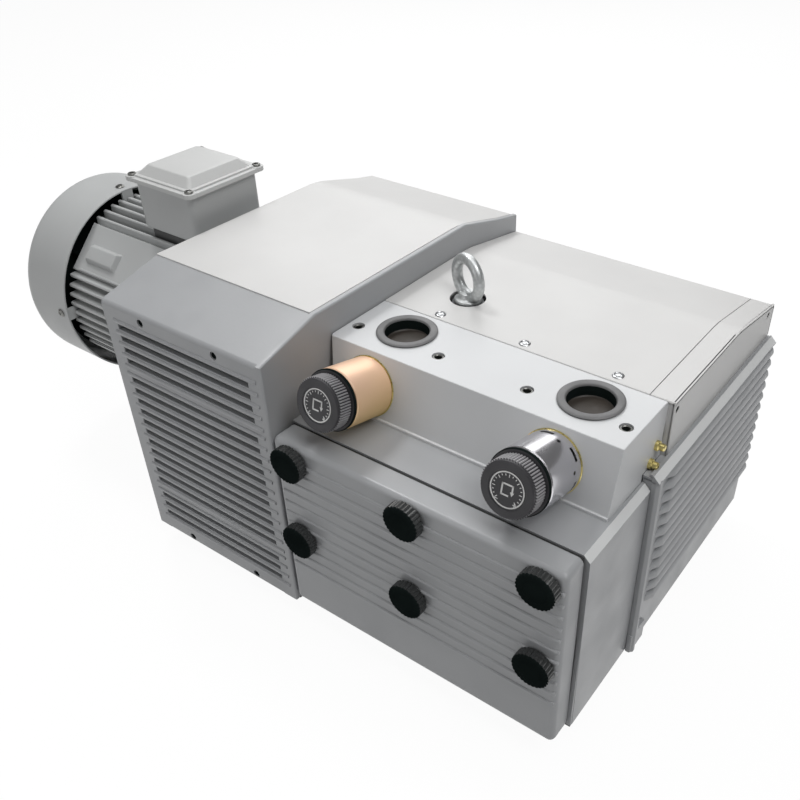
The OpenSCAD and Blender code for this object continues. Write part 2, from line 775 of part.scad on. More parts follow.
module bright_screws() {
    color(steel) for (i = [0:2])
        translate([x_seam + 67 + i * 101.5, y_front + 190 + i * 1, block_top_z])
            rotate_extrude() polygon([[0, 0], [6, 0], [5, 1], [2, 1.2], [0, 1.2]]);
}

module brass_nipples() {
    color(brass) for (p = [[167, 260.3], [156.4, 246.3]])
        translate([block_x1, y_front + p[0], base_z + p[1]]) rotate([0, 90, 0]) rotate_extrude()
            polygon([[0, 0], [5, 0], [5, 3], [3.5, 4], [3.5, 8], [2.5, 9], [0, 9]]);
}

eye_z = block_top_z - 4;
eye_boss_r = 17;
shank_r = 6;

module lifting_eye() {
    ring_c = eye_r + 2 * eye_bar_r + 0.5;
    color(steel) translate([x_seam + eye_x, y_front + eye_d, eye_z]) {
        difference() {
            union() {
                cylinder(r = 15, h = 5);
                translate([0, 0, 5]) cylinder(r = 10, h = ring_c - eye_r - 5);
                translate([0, 0, ring_c]) rotate([90, 0, eye_turn]) rotate_extrude()
                    translate([eye_r + eye_bar_r, 0]) circle(eye_bar_r, $fn = 32);
            }
            translate([0, 0, ring_c]) rotate([90, 0, eye_turn])
                cylinder(r = eye_r, h = 40, center = true);
        }
        // Shank down into the boss of the cylinder
        translate([0, 0, -24]) cylinder(r = shank_r, h = 24 + eps);
    }
}

// Regulating valves

module sleeve(i) {
    at_valve(i) difference() {
        translate([0, 0, ring_t]) rotate_extrude() translate([sleeve_r - sleeve_wall, 0])
            square([sleeve_wall, sleeve_l]);
        // Air slots near the foot
        for (a = [45:60:359]) rotate([0, 0, a])
            translate([sleeve_r - sleeve_wall - 2, -5, ring_t + 3]) cube([10, 10, 4]);
        for (a = [15:60:359]) rotate([0, 0, a])
            translate([0, 0, ring_t + 11]) rotate([0, 90, 0]) cylinder(r = 1.8, h = 60);
    }
}

module sleeve_left() {
    color([0.80, 0.62, 0.42]) sleeve(0);
}

module sleeve_right() {
    color([0.75, 0.76, 0.78]) sleeve(1);
}

module sleeve_rings() {
    color(brass) for (i = [0, 1]) at_valve(i) {
        difference() {
            cylinder(r = ring_r, h = ring_t);
            translate([0, 0, -1]) cylinder(r = valve_bore_r, h = ring_t + 2);
        }
        // Seat with its guide bore, pressed into the block
        difference() {
            translate([0, 0, -valve_bore_d]) cylinder(r = valve_bore_r, h = 8);
            translate([0, 0, -valve_bore_d - 1]) cylinder(r = seat_r, h = 20);
        }
    }
}

module poppet(i) {
    at_valve(i) translate([0, 0, -valve_bore_d + 8]) {
        cylinder(r = 14, h = 4);
        translate([0, 0, 4]) cylinder(r = spring_r - 3.5, h = 8);
    }
}

module poppet_left() {
    color(brass) poppet(0);
}

module poppet_right() {
    color(brass) poppet(1);
}

plate_z = ring_t + sleeve_l - 14;
spring_z = -valve_bore_d + 12;
spring_wire_r = 1.4;

// Coil spring of mean radius r, wire radius w and length l
module coil(r, w, l, turns) {
    sides = 6;
    steps = 12;
    n = turns * steps;
    points = [for (k = [0:n], j = [0:sides - 1])
        let (a = k * 360 / steps, b = j * 360 / sides, q = r + w * cos(b))
        [q * cos(a), q * sin(a), w + k / n * (l - 2 * w) + w * sin(b)]];
    faces = concat(
        [for (k = [0:n - 1], j = [0:sides - 1])
            let (a = k * sides + j, b = k * sides + (j + 1) % sides)
            [a, a + sides, b + sides, b]],
        [[for (j = [0:sides - 1]) j]],
        [[for (j = [sides - 1:-1:0]) n * sides + j]]);
    polyhedron(points, faces);
}

module spring_plate(i) {
    at_valve(i) {
        translate([0, 0, plate_z]) cylinder(r = sleeve_r - sleeve_wall - 0.3, h = 4);
        translate([0, 0, plate_z + 4]) cylinder(r = 8, h = 10 + 6);
    }
}

module spring_plate_left() {
    color(steel) spring_plate(0);
}

module spring_plate_right() {
    color(steel) spring_plate(1);
}

module valve_spring(i) {
    at_valve(i) translate([0, 0, spring_z]) coil(spring_r, spring_wire_r, plate_z - spring_z, 5);
}

module valve_spring_left() {
    color(steel) valve_spring(0);
}

module valve_spring_right() {
    color(steel) valve_spring(1);
}

module dial_knob(i) {
    z0 = ring_t + sleeve_l + plate_gap;
    flutes = 60;
    at_valve(i) difference() {
        union() {
            translate([0, 0, z0]) cylinder(r = sleeve_r, h = 3.5);
            translate([0, 0, z0 + 3.5]) cylinder(r = dial_knob_r, h = dial_knob_l - 2);
            translate([0, 0, z0 + 1.5 + dial_knob_l]) cylinder(r1 = dial_knob_r, r2 = dial_knob_r - 2, h = 2);
        }
        translate([0, 0, plate_z]) cylinder(r = 8 + thread_fit, h = 14 + 6 + 0.5);
        // Seat of the round dial
        translate([0, 0, z0 + dial_knob_l + 2.7]) cylinder(r = dial_knob_r - 9, h = 5);
    }
}

module dial_knob_left() {
    color([0.26, 0.26, 0.28]) dial_knob(0);
}

module dial_knob_right() {
    color([0.26, 0.26, 0.28]) dial_knob(1);
}

module port_plug(i) {
    translate([port_xs[i], port_y, block_top_z]) rotate_extrude() polygon([
        [0, -port_mouth_l + 0.5], [mouth_r - 0.3, -port_mouth_l + 0.5], [mouth_r - 0.3, 0],
        [plug_flange_r, 0], [plug_flange_r, plug_flange_t], [mouth_r - plug_wall, plug_flange_t],
        [mouth_r - plug_wall, -port_mouth_l + 0.5 + plug_wall], [0, -port_mouth_l + 0.5 + plug_wall]]);
}

module port_plug_left() {
    color(dark) port_plug(0);
}

module port_plug_right() {
    color(dark) port_plug(1);
}

// Filter cover and its knobs

// Rectangle of w by d with its two corners at the front rounded, its front along the x axis
module front_rounded(w, d, r) {
    translate([r, 0]) square([w - 2 * r, d]);
    translate([0, r]) square([w, d - r]);
    for (x = [r, w - r]) translate([x, r]) circle(r);
}

module filter_cover() {
    x0 = x_seam + seam;
    z0 = base_z + cover_bottom_h;
    h = housing_top_z - z0;
    color(grey) difference() {
        union() {
            // Face with its four edges rounded
            intersection() {
                translate([x0, y_front, z0]) linear_extrude(h) front_rounded(cover_l, cover_d - 0.5, cover_edge_r);
                translate([0, y_front, z0]) along_x(x0, cover_l) mirror([1, -1, 0])
                    front_rounded(h, cover_d - 0.5, cover_edge_r);
            }
            // Ribs with bevelled flanks that run out at the rounded right edge
            for (i = [0:rib_n - 1]) along_x(x0 + 10, cover_l - 10 - cover_edge_r * 0.5) let(z = z0 + h - rib_drop - i * rib_pitch)
                polygon([[y_front + 2, z - rib_w / 2], [y_front, z - rib_w / 2], [y_front - rib_h, z - rib_w / 2 + rib_h * 0.6],
                    [y_front - rib_h, z + rib_w / 2 - rib_h * 0.6], [y_front, z + rib_w / 2], [y_front + 2, z + rib_w / 2]]);
        }
        // Hollow behind the face
        translate([x0 + cover_wall, y_front + cover_wall, z0 + cover_wall])
            cube([cover_l - 2 * cover_wall, cover_d, h - 2 * cover_wall]);
        for (x = knob_xs, z = knob_zs) bar_y(x, y_front - 5, z, stud_r + 0.6, 20);
    }
    // Bosses behind the knobs
    color(grey) for (x = knob_xs, z = knob_zs) difference() {
        bar_y(x, y_front + cover_wall - 1, z, 10, cover_d - cover_wall + 0.5);
        bar_y(x, y_front - 5, z, stud_r + 0.6, 50);
    }
}

module cover_knob(i) {
    x = knob_xs[i % 3];
    z = knob_zs[floor(i / 3)];
    stand = rib_h + 0.3;
    flutes = 16;
    flute_r = 2.2;
    color(dark) {
        difference() {
            bar_y(x, y_front - stand - knob_h, z, knob_r, knob_h);
            for (a = [0:360 / flutes:359])
                bar_y(x + cos(a) * (knob_r + 0.9), y_front - stand - knob_h - 1, z + sin(a) * (knob_r + 0.9),
                    flute_r, knob_h + 2);
        }
        bar_y(x, y_front - stand - eps, z, stud_r, cover_d + 20);
    }
}

module cover_knob_1() cover_knob(0);
module cover_knob_2() cover_knob(1);
module cover_knob_3() cover_knob(2);
module cover_knob_4() cover_knob(3);
module cover_knob_5() cover_knob(4);
module cover_knob_6() cover_knob(5);

// Rotating parts of the pump

vane_n = 4;
function vane_angle(i) = 45 + i * 360 / vane_n;
slot_depth = vane_w + 1;

module pump_rotor() {
    color(iron) difference() {
        bar_x(cyl_x0 + rotor_end_gap, shaft_y, shaft_z, rotor_r, cylinder_l - 2 * rotor_end_gap);
        bar_x(cyl_x0 - 1, shaft_y, shaft_z, shaft_r, cylinder_l + 2);
        for (i = [0:vane_n - 1]) translate([cyl_x0 - 1, shaft_y, shaft_z]) rotate([vane_angle(i), 0, 0])
            translate([0, -vane_t / 2 - vane_fit, rotor_r - slot_depth])
                cube([cylinder_l + 2, vane_t + 2 * vane_fit, slot_depth + 10]);
    }
}

module vane(i) {
    color([0.16, 0.16, 0.17]) translate([cyl_x0 + 0.5, shaft_y, shaft_z])
        rotate([vane_angle(i), 0, 0])
            translate([0, -vane_t / 2, rotor_r - slot_depth + 0.3])
                cube([cylinder_l - 1, vane_t, vane_w]);
}

module vane_1() vane(0);
module vane_2() vane(1);
module vane_3() vane(2);
module vane_4() vane(3);

module pump_shaft() {
    x0 = pump_hub_x;
    color(steel) bar_x(x0, shaft_y, shaft_z, shaft_r, cyl_x1 + end_cover_t + 18 - x0);
}

module coupling_hub(x) {
    tube_x(x, shaft_y, shaft_z, coupling_r, shaft_r, hub_l);
}

module coupling_hubs() {
    jaws = 3;
    color(iron) {
        tube_x(pump_hub_x, shaft_y, shaft_z, coupling_r, shaft_r, hub_l);
        tube_x(motor_hub_x, shaft_y, shaft_z, coupling_r, motor_shaft_r, hub_l);
        for (k = [0:jaws - 1]) {
            translate([pump_hub_x - insert_l + 1, shaft_y, shaft_z]) rotate([k * 120, 0, 0]) jaw();
            translate([motor_hub_x + hub_l - 1, shaft_y, shaft_z]) rotate([k * 120 + 60, 0, 0]) jaw();
        }
    }
}

// One claw of the coupling, a sector between two radii
module jaw() {
    rotate([90, 0, 90]) linear_extrude(insert_l) intersection() {
        difference() {
            circle(coupling_r - 0.5);
            circle(coupling_r * 0.5);
        }
        polygon([[0, 0], [60 * cos(18), -60 * sin(18)], [60 * cos(18), 60 * sin(18)]]);
    }
}

module coupling_insert() {
    color([0.6, 0.12, 0.1]) translate([motor_hub_x + hub_l + 0.5, shaft_y, shaft_z])
        rotate([90, 0, 90]) linear_extrude(insert_l - 1) {
            difference() {
                circle(coupling_r * 0.48);
                circle(coupling_r * 0.2);
            }
            for (k = [0:5]) rotate(k * 60 + 30) translate([coupling_r * 0.42, -3.5]) square([coupling_r * 0.5, 7]);
        }
}

module cooling_fan() {
    hub_r = 30;
    color([0.55, 0.56, 0.57]) {
        tube_x(fan_x, shaft_y, shaft_z, hub_r, shaft_r, fan_w);
        tube_x(fan_x + fan_w - 3, shaft_y, shaft_z, fan_r, hub_r - 1, 3);
        for (k = [0:fan_blades - 1]) translate([fan_x, shaft_y, shaft_z])
            rotate([90, 0, 90]) linear_extrude(fan_w - 2) rotate(k * 360 / fan_blades) intersection() {
                translate([hub_r - 2, 0]) square([fan_r - hub_r, 60]);
                translate([fan_r * 0.55, -fan_r * 0.22]) difference() {
                    circle(fan_r * 0.52);
                    circle(fan_r * 0.52 - 3);
                }
            }
    }
}

// Motor

module fin_outline() {
    n = 4;
    difference() {
        union() {
            circle(motor_tube_r);
            intersection() {
                circle(motor_fin_r, $fn = 128);
                union() {
                    for (k = [-n:n]) translate([k * fin_pitch - fin_t / 2, -motor_fin_r])
                        square([fin_t, 2 * motor_fin_r]);
                    for (k = [-n:n]) translate([-motor_fin_r, k * fin_pitch - fin_t / 2])
                        square([2 * motor_fin_r, fin_t]);
                    // Plain pads between the groups of fins
                    for (a = [45:90:359]) rotate(a) translate([0, -32]) square([motor_fin_r - 6, 64]);
                }
            }
        }
        circle(motor_bore_r);
    }
}

module motor_housing() {
    color(grey) difference() {
        union() {
            translate([motor_x0 + 12, shaft_y, shaft_z]) rotate([90, 0, 90]) linear_extrude(tube_l - 14)
                fin_outline();
            // Neck under the terminal box
            translate([lid_x0 + 14, shaft_y - lid_y / 2 + 16, shaft_z + motor_tube_r - 8])
                cube([lid_x - 28, lid_y - 32, box_z0 - shaft_z - motor_tube_r + 8]);
        }
        bar_x(motor_x0, shaft_y, shaft_z, motor_bore_r, motor_l);
        // Room for the heads of the flange bolts
        for (a = [45:90:359])
            bar_x(motor_x1 - 26, shaft_y + cos(a) * (flange_r - 14), shaft_z + sin(a) * (flange_r - 14), 11, 26);
        // Way for the leads
        translate([(lid_x0 + lid_x1) / 2, shaft_y, shaft_z]) cylinder(r = 20, h = 200);
    }
}
box_z0 = shaft_z + motor_fin_r + 4;

module motor_flange() {
    color(grey) difference() {
        union() {
            bar_x(motor_x1 - 14, shaft_y, shaft_z, flange_r, 14 - eps);
            bar_x(motor_x1 - 26, shaft_y, shaft_z, motor_bore_r, 26);
            bar_x(motor_x1 - eps, shaft_y, shaft_z, 60 - 0.2, plate_t);
        }
        bar_x(motor_x1 - 50, shaft_y, shaft_z, motor_shaft_r + shaft_gap, 80);
        bar_x(motor_x1 - 30, shaft_y, shaft_z, bearing_ro, 26);
        for (a = [45:90:359])
            bar_x(motor_x1 - 20, shaft_y + cos(a) * (flange_r - 14), shaft_z + sin(a) * (flange_r - 14), 5, 40);
    }
}

module motor_end_shield() {
    color(grey) difference() {
        union() {
            bar_x(motor_x0, shaft_y, shaft_z, motor_tube_r, 12);
            bar_x(motor_x0, shaft_y, shaft_z, motor_bore_r, 30);
        }
        bar_x(motor_x0 - 1, shaft_y, shaft_z, motor_shaft_r + shaft_gap, 60);
        bar_x(motor_x0 + 8, shaft_y, shaft_z, bearing_ro, 40);
    }
}

rotor_core_r = 55;

module stator_core() {
    color(iron) tube_x(motor_x0 + 50, shaft_y, shaft_z, motor_bore_r, rotor_core_r + 0.6, motor_l - 90);
}

module motor_rotor() {
    color(steel) {
        bar_x(motor_x0 - 50, shaft_y, shaft_z, motor_shaft_r, motor_hub_x + hub_l + 50 - motor_x0 - 2);
        bar_x(motor_x0 + 52, shaft_y, shaft_z, rotor_core_r, motor_l - 94);
    }
}

module motor_fan() {
    color([0.2, 0.2, 0.21]) {
        tube_x(motor_x0 - 46, shaft_y, shaft_z, 26, motor_shaft_r, 34);
        tube_x(motor_x0 - 16, shaft_y, shaft_z, 92, 25, 3);
        for (k = [0:6]) translate([motor_x0 - 46, shaft_y, shaft_z]) rotate([k * 360 / 7, 0, 0])
            translate([0, -2, 24]) cube([31, 4, 78]);
    }
}

module fan_cowl() {
    bulge = 14;
    ring_n = 5;
    color(grey) difference() {
        translate([cowl_x0, shaft_y, shaft_z]) rotate([0, 90, 0]) rotate_extrude($fn = 128) polygon([
            [0, 0], [cowl_r - bulge, 0], [cowl_r - bulge * 0.3, bulge * 0.25], [cowl_r, bulge],
            [cowl_r, cowl_l], [cowl_r - cowl_t, cowl_l], [cowl_r - cowl_t, bulge + 1],
            [cowl_r - bulge * 0.3 - cowl_t, bulge * 0.25 + cowl_t], [cowl_r - bulge - 1, cowl_t],
            [0, cowl_t]]);
        // Air grille in the end
        for (k = [0:ring_n - 1], a = [0:30:359])
            translate([cowl_x0 - 1, shaft_y, shaft_z]) rotate([a + 3, 0, 0])
                rotate([90, 0, 90]) linear_extrude(cowl_t + 2) intersection() {
                    difference() {
                        circle(36 + k * 15);
                        circle(28 + k * 15);
                    }
                    polygon([[0, 0], [150, 0], [150 * cos(24), 150 * sin(24)]]);
                }
    }
    // Brackets that seat the cowl on the end shield
    color(grey) for (a = [45:90:359]) translate([motor_x0 + eps, shaft_y, shaft_z]) rotate([a, 0, 0])
        translate([0, -8, motor_tube_r]) cube([3, 16, cowl_r - cowl_t - motor_tube_r + 0.2]);
}

module motor_screws() {
    color(steel) {
        for (a = [45:90:359]) bar_x(motor_x1 - 22, shaft_y + cos(a) * (flange_r - 14),
            shaft_z + sin(a) * (flange_r - 14), 8, 8);
        for (a = [60, 135, 225, 315]) translate([cowl_x1 - 20, shaft_y, shaft_z]) rotate([a, 0, 0])
            translate([0, 0, cowl_r]) cylinder(r = 5, h = 2.5);
        for (x = [lid_x0 + 8, lid_x1 - 8], y = [8, lid_y - 8])
            translate([x, lid_y0 + y, lid_z]) cylinder(r = 4, h = 3);
    }
}

module terminal_box() {
    h = lid_z - lid_flange_t - box_z0;
    color(grey) difference() {
        translate([lid_x0 + box_inset, lid_y0 + box_inset, box_z0]) linear_extrude(h)
            rounded(lid_x - 2 * box_inset, lid_y - 2 * box_inset, 6);
        translate([lid_x0 + box_inset + box_wall, lid_y0 + box_inset + box_wall, box_z0 + box_wall])
            cube([lid_x - 2 * box_inset - 2 * box_wall, lid_y - 2 * box_inset - 2 * box_wall, h]);
        translate([(lid_x0 + lid_x1) / 2, shaft_y, box_z0 - 1]) cylinder(r = 20, h = 20);
        bar_y((lid_x0 + lid_x1) / 2, lid_y0 + lid_y - 30, box_z0 + h / 2, entry_r, 60);
    }
}

module terminal_lid() {
    color(light) {
        translate([lid_x0, lid_y0, lid_z - lid_flange_t]) linear_extrude(lid_flange_t)
            rounded(lid_x, lid_y, 9);
        hull() {
            translate([lid_x0 + 14, lid_y0 + 9, lid_z - 1]) cube([lid_x - 28, lid_y - 18, 1]);
            translate([lid_x0 + 22, lid_y0 + 19, lid_z + lid_rise - 1]) cube([lid_x - 44, lid_y - 38, 1]);
        }
    }
}

base_plate();
rubber_feet();
hood_front();
hood_top();
motor_plate();
bulkhead();
filter_housing();
filter_cartridges();
pump_cylinder();
end_cover_drive();
end_cover_free();
shaft_bearings();
top_cover();
end_band();
louvre_panel();
rear_panel();
valve_block();
lifting_eye();
brass_nipples();
black_screws();
bright_screws();
sleeve_left();
sleeve_right();
sleeve_rings();
motor_housing();
motor_flange();
motor_end_shield();
stator_core();
fan_cowl();
motor_screws();
terminal_box();
terminal_lid();
pump_rotor();
pump_shaft();
coupling_hubs();
coupling_insert();
cooling_fan();
motor_rotor();
motor_fan();
vane_1();
vane_2();
vane_3();
vane_4();
filter_cover();
cover_knob_1();
cover_knob_2();
cover_knob_3();
cover_knob_4();
cover_knob_5();
cover_knob_6();
spring_plate_left();
dial_knob_left();
poppet_left();
spring_plate_right();
dial_knob_right();
poppet_right();
valve_spring_left();
valve_spring_right();
port_plug_left();
port_plug_right();
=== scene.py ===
"""Looks of a dry rotary vane vacuum pump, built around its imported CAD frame.

The frame gives the bodies and joints. Every outer piece is modelled here with Blender's own operators
at the place and size of its CAD node and stands for that node; the pieces inside the cabinet keep
their CAD shape and get a finish. Sizes are in millimetres in the pump's own frame: +X along the shaft
away from the motor, -Y out of the filter cover, +Z up, with the origin on the floor between the feet.
"""
import json
import logging
import math
from collections.abc import Callable, Iterator, Sequence
from contextlib import contextmanager
from dataclasses import dataclass, field
from enum import Enum

import bmesh
import bpy
from mathutils import Euler, Matrix, Vector

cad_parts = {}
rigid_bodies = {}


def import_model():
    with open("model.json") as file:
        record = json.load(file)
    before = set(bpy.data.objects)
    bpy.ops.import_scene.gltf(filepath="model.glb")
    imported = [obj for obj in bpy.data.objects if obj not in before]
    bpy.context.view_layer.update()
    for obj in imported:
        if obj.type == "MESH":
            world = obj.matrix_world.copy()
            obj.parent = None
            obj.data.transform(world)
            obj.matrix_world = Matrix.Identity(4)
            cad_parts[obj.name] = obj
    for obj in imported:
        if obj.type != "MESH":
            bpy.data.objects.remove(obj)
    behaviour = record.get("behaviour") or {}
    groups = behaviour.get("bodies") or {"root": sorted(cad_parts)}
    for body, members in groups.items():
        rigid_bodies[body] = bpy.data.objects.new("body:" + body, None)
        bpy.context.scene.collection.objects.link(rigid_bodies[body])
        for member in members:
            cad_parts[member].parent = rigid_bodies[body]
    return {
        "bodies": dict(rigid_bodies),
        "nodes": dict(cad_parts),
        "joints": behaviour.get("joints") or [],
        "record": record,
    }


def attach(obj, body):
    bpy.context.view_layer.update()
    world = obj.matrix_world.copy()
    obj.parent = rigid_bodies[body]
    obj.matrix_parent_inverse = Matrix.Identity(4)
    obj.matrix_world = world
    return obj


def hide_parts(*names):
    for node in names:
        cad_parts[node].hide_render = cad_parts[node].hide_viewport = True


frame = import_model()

LOG = logging.getLogger("vacuum_pump")
MM = 0.001
CABINET = "cabinet"

Colour = tuple[float, float, float]
Flat = tuple[float, float]
Spot = tuple[float, float, float]
Test = Callable[[Vector, Vector], bool]
Piece = bpy.types.Object
Socket = bpy.types.NodeSocket


class Axis(Enum):
    """An axis of the pump's frame."""

    X = 0
    Y = 1
    Z = 2

    def unit(self) -> Vector:
        """Gives the unit vector along the axis."""
        return Vector([1.0 if i == self.value else 0.0 for i in range(3)])

    def turn(self) -> tuple[float, float, float]:
        """Gives the rotation that lays a primitive's own Z along the axis."""
        return {0: (0.0, math.pi / 2, 0.0), 1: (-math.pi / 2, 0.0, 0.0), 2: (0.0, 0.0, 0.0)}[self.value]

    def point(self, a: float, b: float, along: float) -> Vector:
        """Places a point of an outline.

        Args:
            a: First outline coordinate: Y for axis X, X for axes Y and Z.
            b: Second outline coordinate: Z for axes X and Y, Y for axis Z.
            along: Position along the axis.

        Returns:
            The point in the pump's frame.
        """
        return {0: Vector((along, a, b)), 1: Vector((a, along, b)), 2: Vector((a, b, along))}[self.value]


class Bench:
    """Models one mesh at a time with Blender's own operators, in millimetres."""

    @staticmethod
    def clear() -> None:
        """Leaves edit mode and deselects everything."""
        if bpy.context.object is not None and bpy.context.object.mode != "OBJECT":
            bpy.ops.object.mode_set(mode="OBJECT")
        bpy.ops.object.select_all(action="DESELECT")

    @staticmethod
    def take(piece: Piece) -> None:
        """Makes a piece the only selected one and the active one."""
        Bench.clear()
        piece.select_set(True)
        bpy.context.view_layer.objects.active = piece

    @staticmethod
    @contextmanager
    def editing(piece: Piece, kind: str = "FACE") -> Iterator[None]:
        """Opens a piece in edit mode with nothing selected, and closes it again.

        Args:
            piece: The piece to edit.
            kind: Which elements are selected: VERT, EDGE or FACE.

        Yields:
            Nothing; the operators act on the open mesh.
        """
        Bench.take(piece)
        bpy.ops.object.mode_set(mode="EDIT")
        bpy.ops.mesh.select_mode(type=kind)
        bpy.ops.mesh.select_all(action="DESELECT")
        yield
        Bench.clear()

    @staticmethod
    def mark(piece: Piece, test: Test) -> int:
        """Selects the faces of the open mesh whose place and normal pass a test.

        Args:
            piece: The piece in edit mode.
            test: Gets a face's middle in millimetres and its normal.

        Returns:
            How many faces were selected.
        """
        bpy.ops.mesh.select_all(action="DESELECT")
        mesh = bmesh.from_edit_mesh(piece.data)
        found = [f for f in mesh.faces if test(f.calc_center_median() / MM, f.normal)]
        for face in found:
            face.select_set(True)
        bmesh.update_edit_mesh(piece.data)
        return len(found)

    @staticmethod
    def mark_edges(piece: Piece, test: Test, angle: float = 30.0) -> int:
        """Selects the sharp edges of the open mesh whose two ends pass a test.

        Args:
            piece: The piece in edit mode.
            test: Gets an edge's two ends in millimetres.
            angle: Least angle between the edge's two faces, in degrees.

        Returns:
            How many edges were selected.
        """
        bpy.ops.mesh.select_all(action="DESELECT")
        mesh = bmesh.from_edit_mesh(piece.data)
        limit = math.radians(angle)
        found = [e for e in mesh.edges if len(e.link_faces) == 2 and e.calc_face_angle(0.0) > limit
                 and test(e.verts[0].co / MM, e.verts[1].co / MM)]
        for edge in found:
            edge.select_set(True)
        bmesh.update_edit_mesh(piece.data)
        return len(found)

    @staticmethod
    def settle(name: str) -> Piece:
        """Names the primitive just added and puts its place and size into its mesh."""
        piece = bpy.context.object
        piece.name = name
        piece.data.name = name
        bpy.ops.object.transform_apply(location=True, rotation=True, scale=True)
        return piece

    @staticmethod
    def block(name: str, low: Spot, high: Spot) -> Piece:
        """Adds a block between two corners.

        Args:
            name: Name of the piece.
            low: Lowest corner.
            high: Highest corner.

        Returns:
            The piece.
        """
        Bench.clear()
        middle = (Vector(low) + Vector(high)) * 0.5 * MM
        size = (Vector(high) - Vector(low)) * MM
        bpy.ops.mesh.primitive_cube_add(size=1.0, location=middle, scale=size)
        return Bench.settle(name)

    @staticmethod
    def rod(name: str, axis: Axis, foot: Spot, radius: float, length: float, sides: int = 48,
            tip: float | None = None) -> Piece:
        """Adds a round bar or a cone.

        Args:
            name: Name of the piece.
            axis: Axis of the bar.
            foot: Middle of the lower end.
            radius: Radius at the foot.
            length: Length along the axis.
            sides: Number of side faces.
            tip: Radius at the other end, when it differs.

        Returns:
            The piece.
        """
        Bench.clear()
        middle = (Vector(foot) + axis.unit() * length * 0.5) * MM
        end = radius if tip is None else tip
        bpy.ops.mesh.primitive_cone_add(vertices=sides, radius1=radius * MM, radius2=end * MM,
                                        depth=length * MM, location=middle, rotation=axis.turn())
        return Bench.settle(name)

    @staticmethod
    def line(name: str, points: Sequence[Vector], fill: bool = False) -> Piece:
        """Draws a line of edges by extruding one corner from point to point.

        Args:
            name: Name of the piece.
            points: The points, in millimetres.
            fill: Whether the line is closed by a face.

        Returns:
            The piece.
        """
        Bench.clear()
        here = points[0] * MM
        bpy.ops.mesh.primitive_plane_add(size=MM, location=here)
        piece = Bench.settle(name)
        with Bench.editing(piece, "VERT"):
            bpy.ops.mesh.select_all(action="SELECT")
            bpy.ops.mesh.merge(type="CENTER")
            for point in points[1:]:
                there = point * MM
                bpy.ops.mesh.extrude_region_move(TRANSFORM_OT_translate={"value": there - here})
                here = there
            if fill:
                bpy.ops.mesh.select_all(action="SELECT")
                bpy.ops.mesh.edge_face_add()
        return piece

    @staticmethod
    def prism(name: str, outline: Sequence[Flat], axis: Axis, start: float, length: float) -> Piece:
        """Extrudes a closed outline along an axis.

        Args:
            name: Name of the piece.
            outline: Corners of the outline.
            axis: Axis of the extrusion.
            start: Position of the first face along the axis.
            length: Length of the extrusion.

        Returns:
            The closed piece.
        """
        piece = Bench.line(name, [axis.point(a, b, start) for a, b in outline], fill=True)
        with Bench.editing(piece):
            bpy.ops.mesh.select_all(action="SELECT")
            bpy.ops.mesh.extrude_region_move(TRANSFORM_OT_translate={"value": axis.unit() * length * MM})
        return Bench.close(piece)

    @staticmethod
    def sheet(name: str, path: Sequence[Flat], axis: Axis, start: float, length: float) -> Piece:
        """Extrudes an open path along an axis into a sheet without thickness."""
        piece = Bench.line(name, [axis.point(a, b, start) for a, b in path])
        with Bench.editing(piece, "EDGE"):
            bpy.ops.mesh.select_all(action="SELECT")
            bpy.ops.mesh.extrude_region_move(TRANSFORM_OT_translate={"value": axis.unit() * length * MM})
            bpy.ops.mesh.select_all(action="SELECT")
            bpy.ops.mesh.normals_make_consistent(inside=False)
        return piece

    @staticmethod
    def lathe(name: str, axis: Axis, centre: Spot, profile: Sequence[Flat], sides: int = 96) -> Piece:
        """Spins a profile about an axis.

        Args:
            name: Name of the piece.
            axis: Axis of the spin.
            centre: Point of the axis from which the profile's second number counts.
            profile: Pairs of radius and position along the axis. It starts and ends on the axis, or
                ends where it starts.
            sides: Steps of the spin.

        Returns:
            The closed piece.
        """
        out = Axis.Y.unit() if axis is Axis.X else Axis.X.unit()
        middle = Vector(centre)
        piece = Bench.line(name, [middle + out * r + axis.unit() * a for r, a in profile])
        with Bench.editing(piece, "VERT"):
            bpy.ops.mesh.select_all(action="SELECT")
            bpy.ops.mesh.spin(steps=sides, angle=2.0 * math.pi, center=middle * MM, axis=axis.unit())
        return Bench.close(piece)

    @staticmethod
    def close(piece: Piece) -> Piece:
        """Merges doubled corners and turns all faces outwards."""
        with Bench.editing(piece, "VERT"):
            bpy.ops.mesh.select_all(action="SELECT")
            bpy.ops.mesh.remove_doubles(threshold=2e-6)
            bpy.ops.mesh.normals_make_consistent(inside=False)
        return piece

    @staticmethod
    def apply(piece: Piece, kind: str, **settings: object) -> Piece:
        """Adds a modifier with its settings and applies it.

        Args:
            piece: The piece.
            kind: Blender's name of the modifier type.
            **settings: Values of the modifier's properties.

        Returns:
            The same piece.
        """
        Bench.take(piece)
        modifier = piece.modifiers.new(kind.lower(), kind)
        for key, value in settings.items():
            setattr(modifier, key, value)
        bpy.ops.object.modifier_apply(modifier=modifier.name)
        return piece

    @staticmethod
    def cut(piece: Piece, *tools: Piece) -> Piece:
        """Takes the tools' volume out of a piece and removes the tools."""
        for tool in tools:
            Bench.apply(piece, "BOOLEAN", object=tool, operation="DIFFERENCE", solver="EXACT")
            bpy.data.objects.remove(tool)
        return piece

    @staticmethod
    def fuse(piece: Piece, *others: Piece) -> Piece:
        """Adds the others' volume to a piece and removes them."""
        for other in others:
            Bench.apply(piece, "BOOLEAN", object=other, operation="UNION", solver="EXACT")
            bpy.data.objects.remove(other)
        return piece

    @staticmethod
    def join(name: str, pieces: Sequence[Piece]) -> Piece:
        """Joins pieces into one object that keeps them as separate shells."""
        Bench.take(pieces[0])
        for piece in pieces[1:]:
            piece.select_set(True)
        if len(pieces) > 1:
            bpy.ops.object.join()
        pieces[0].name = name
        pieces[0].data.name = name
        return pieces[0]

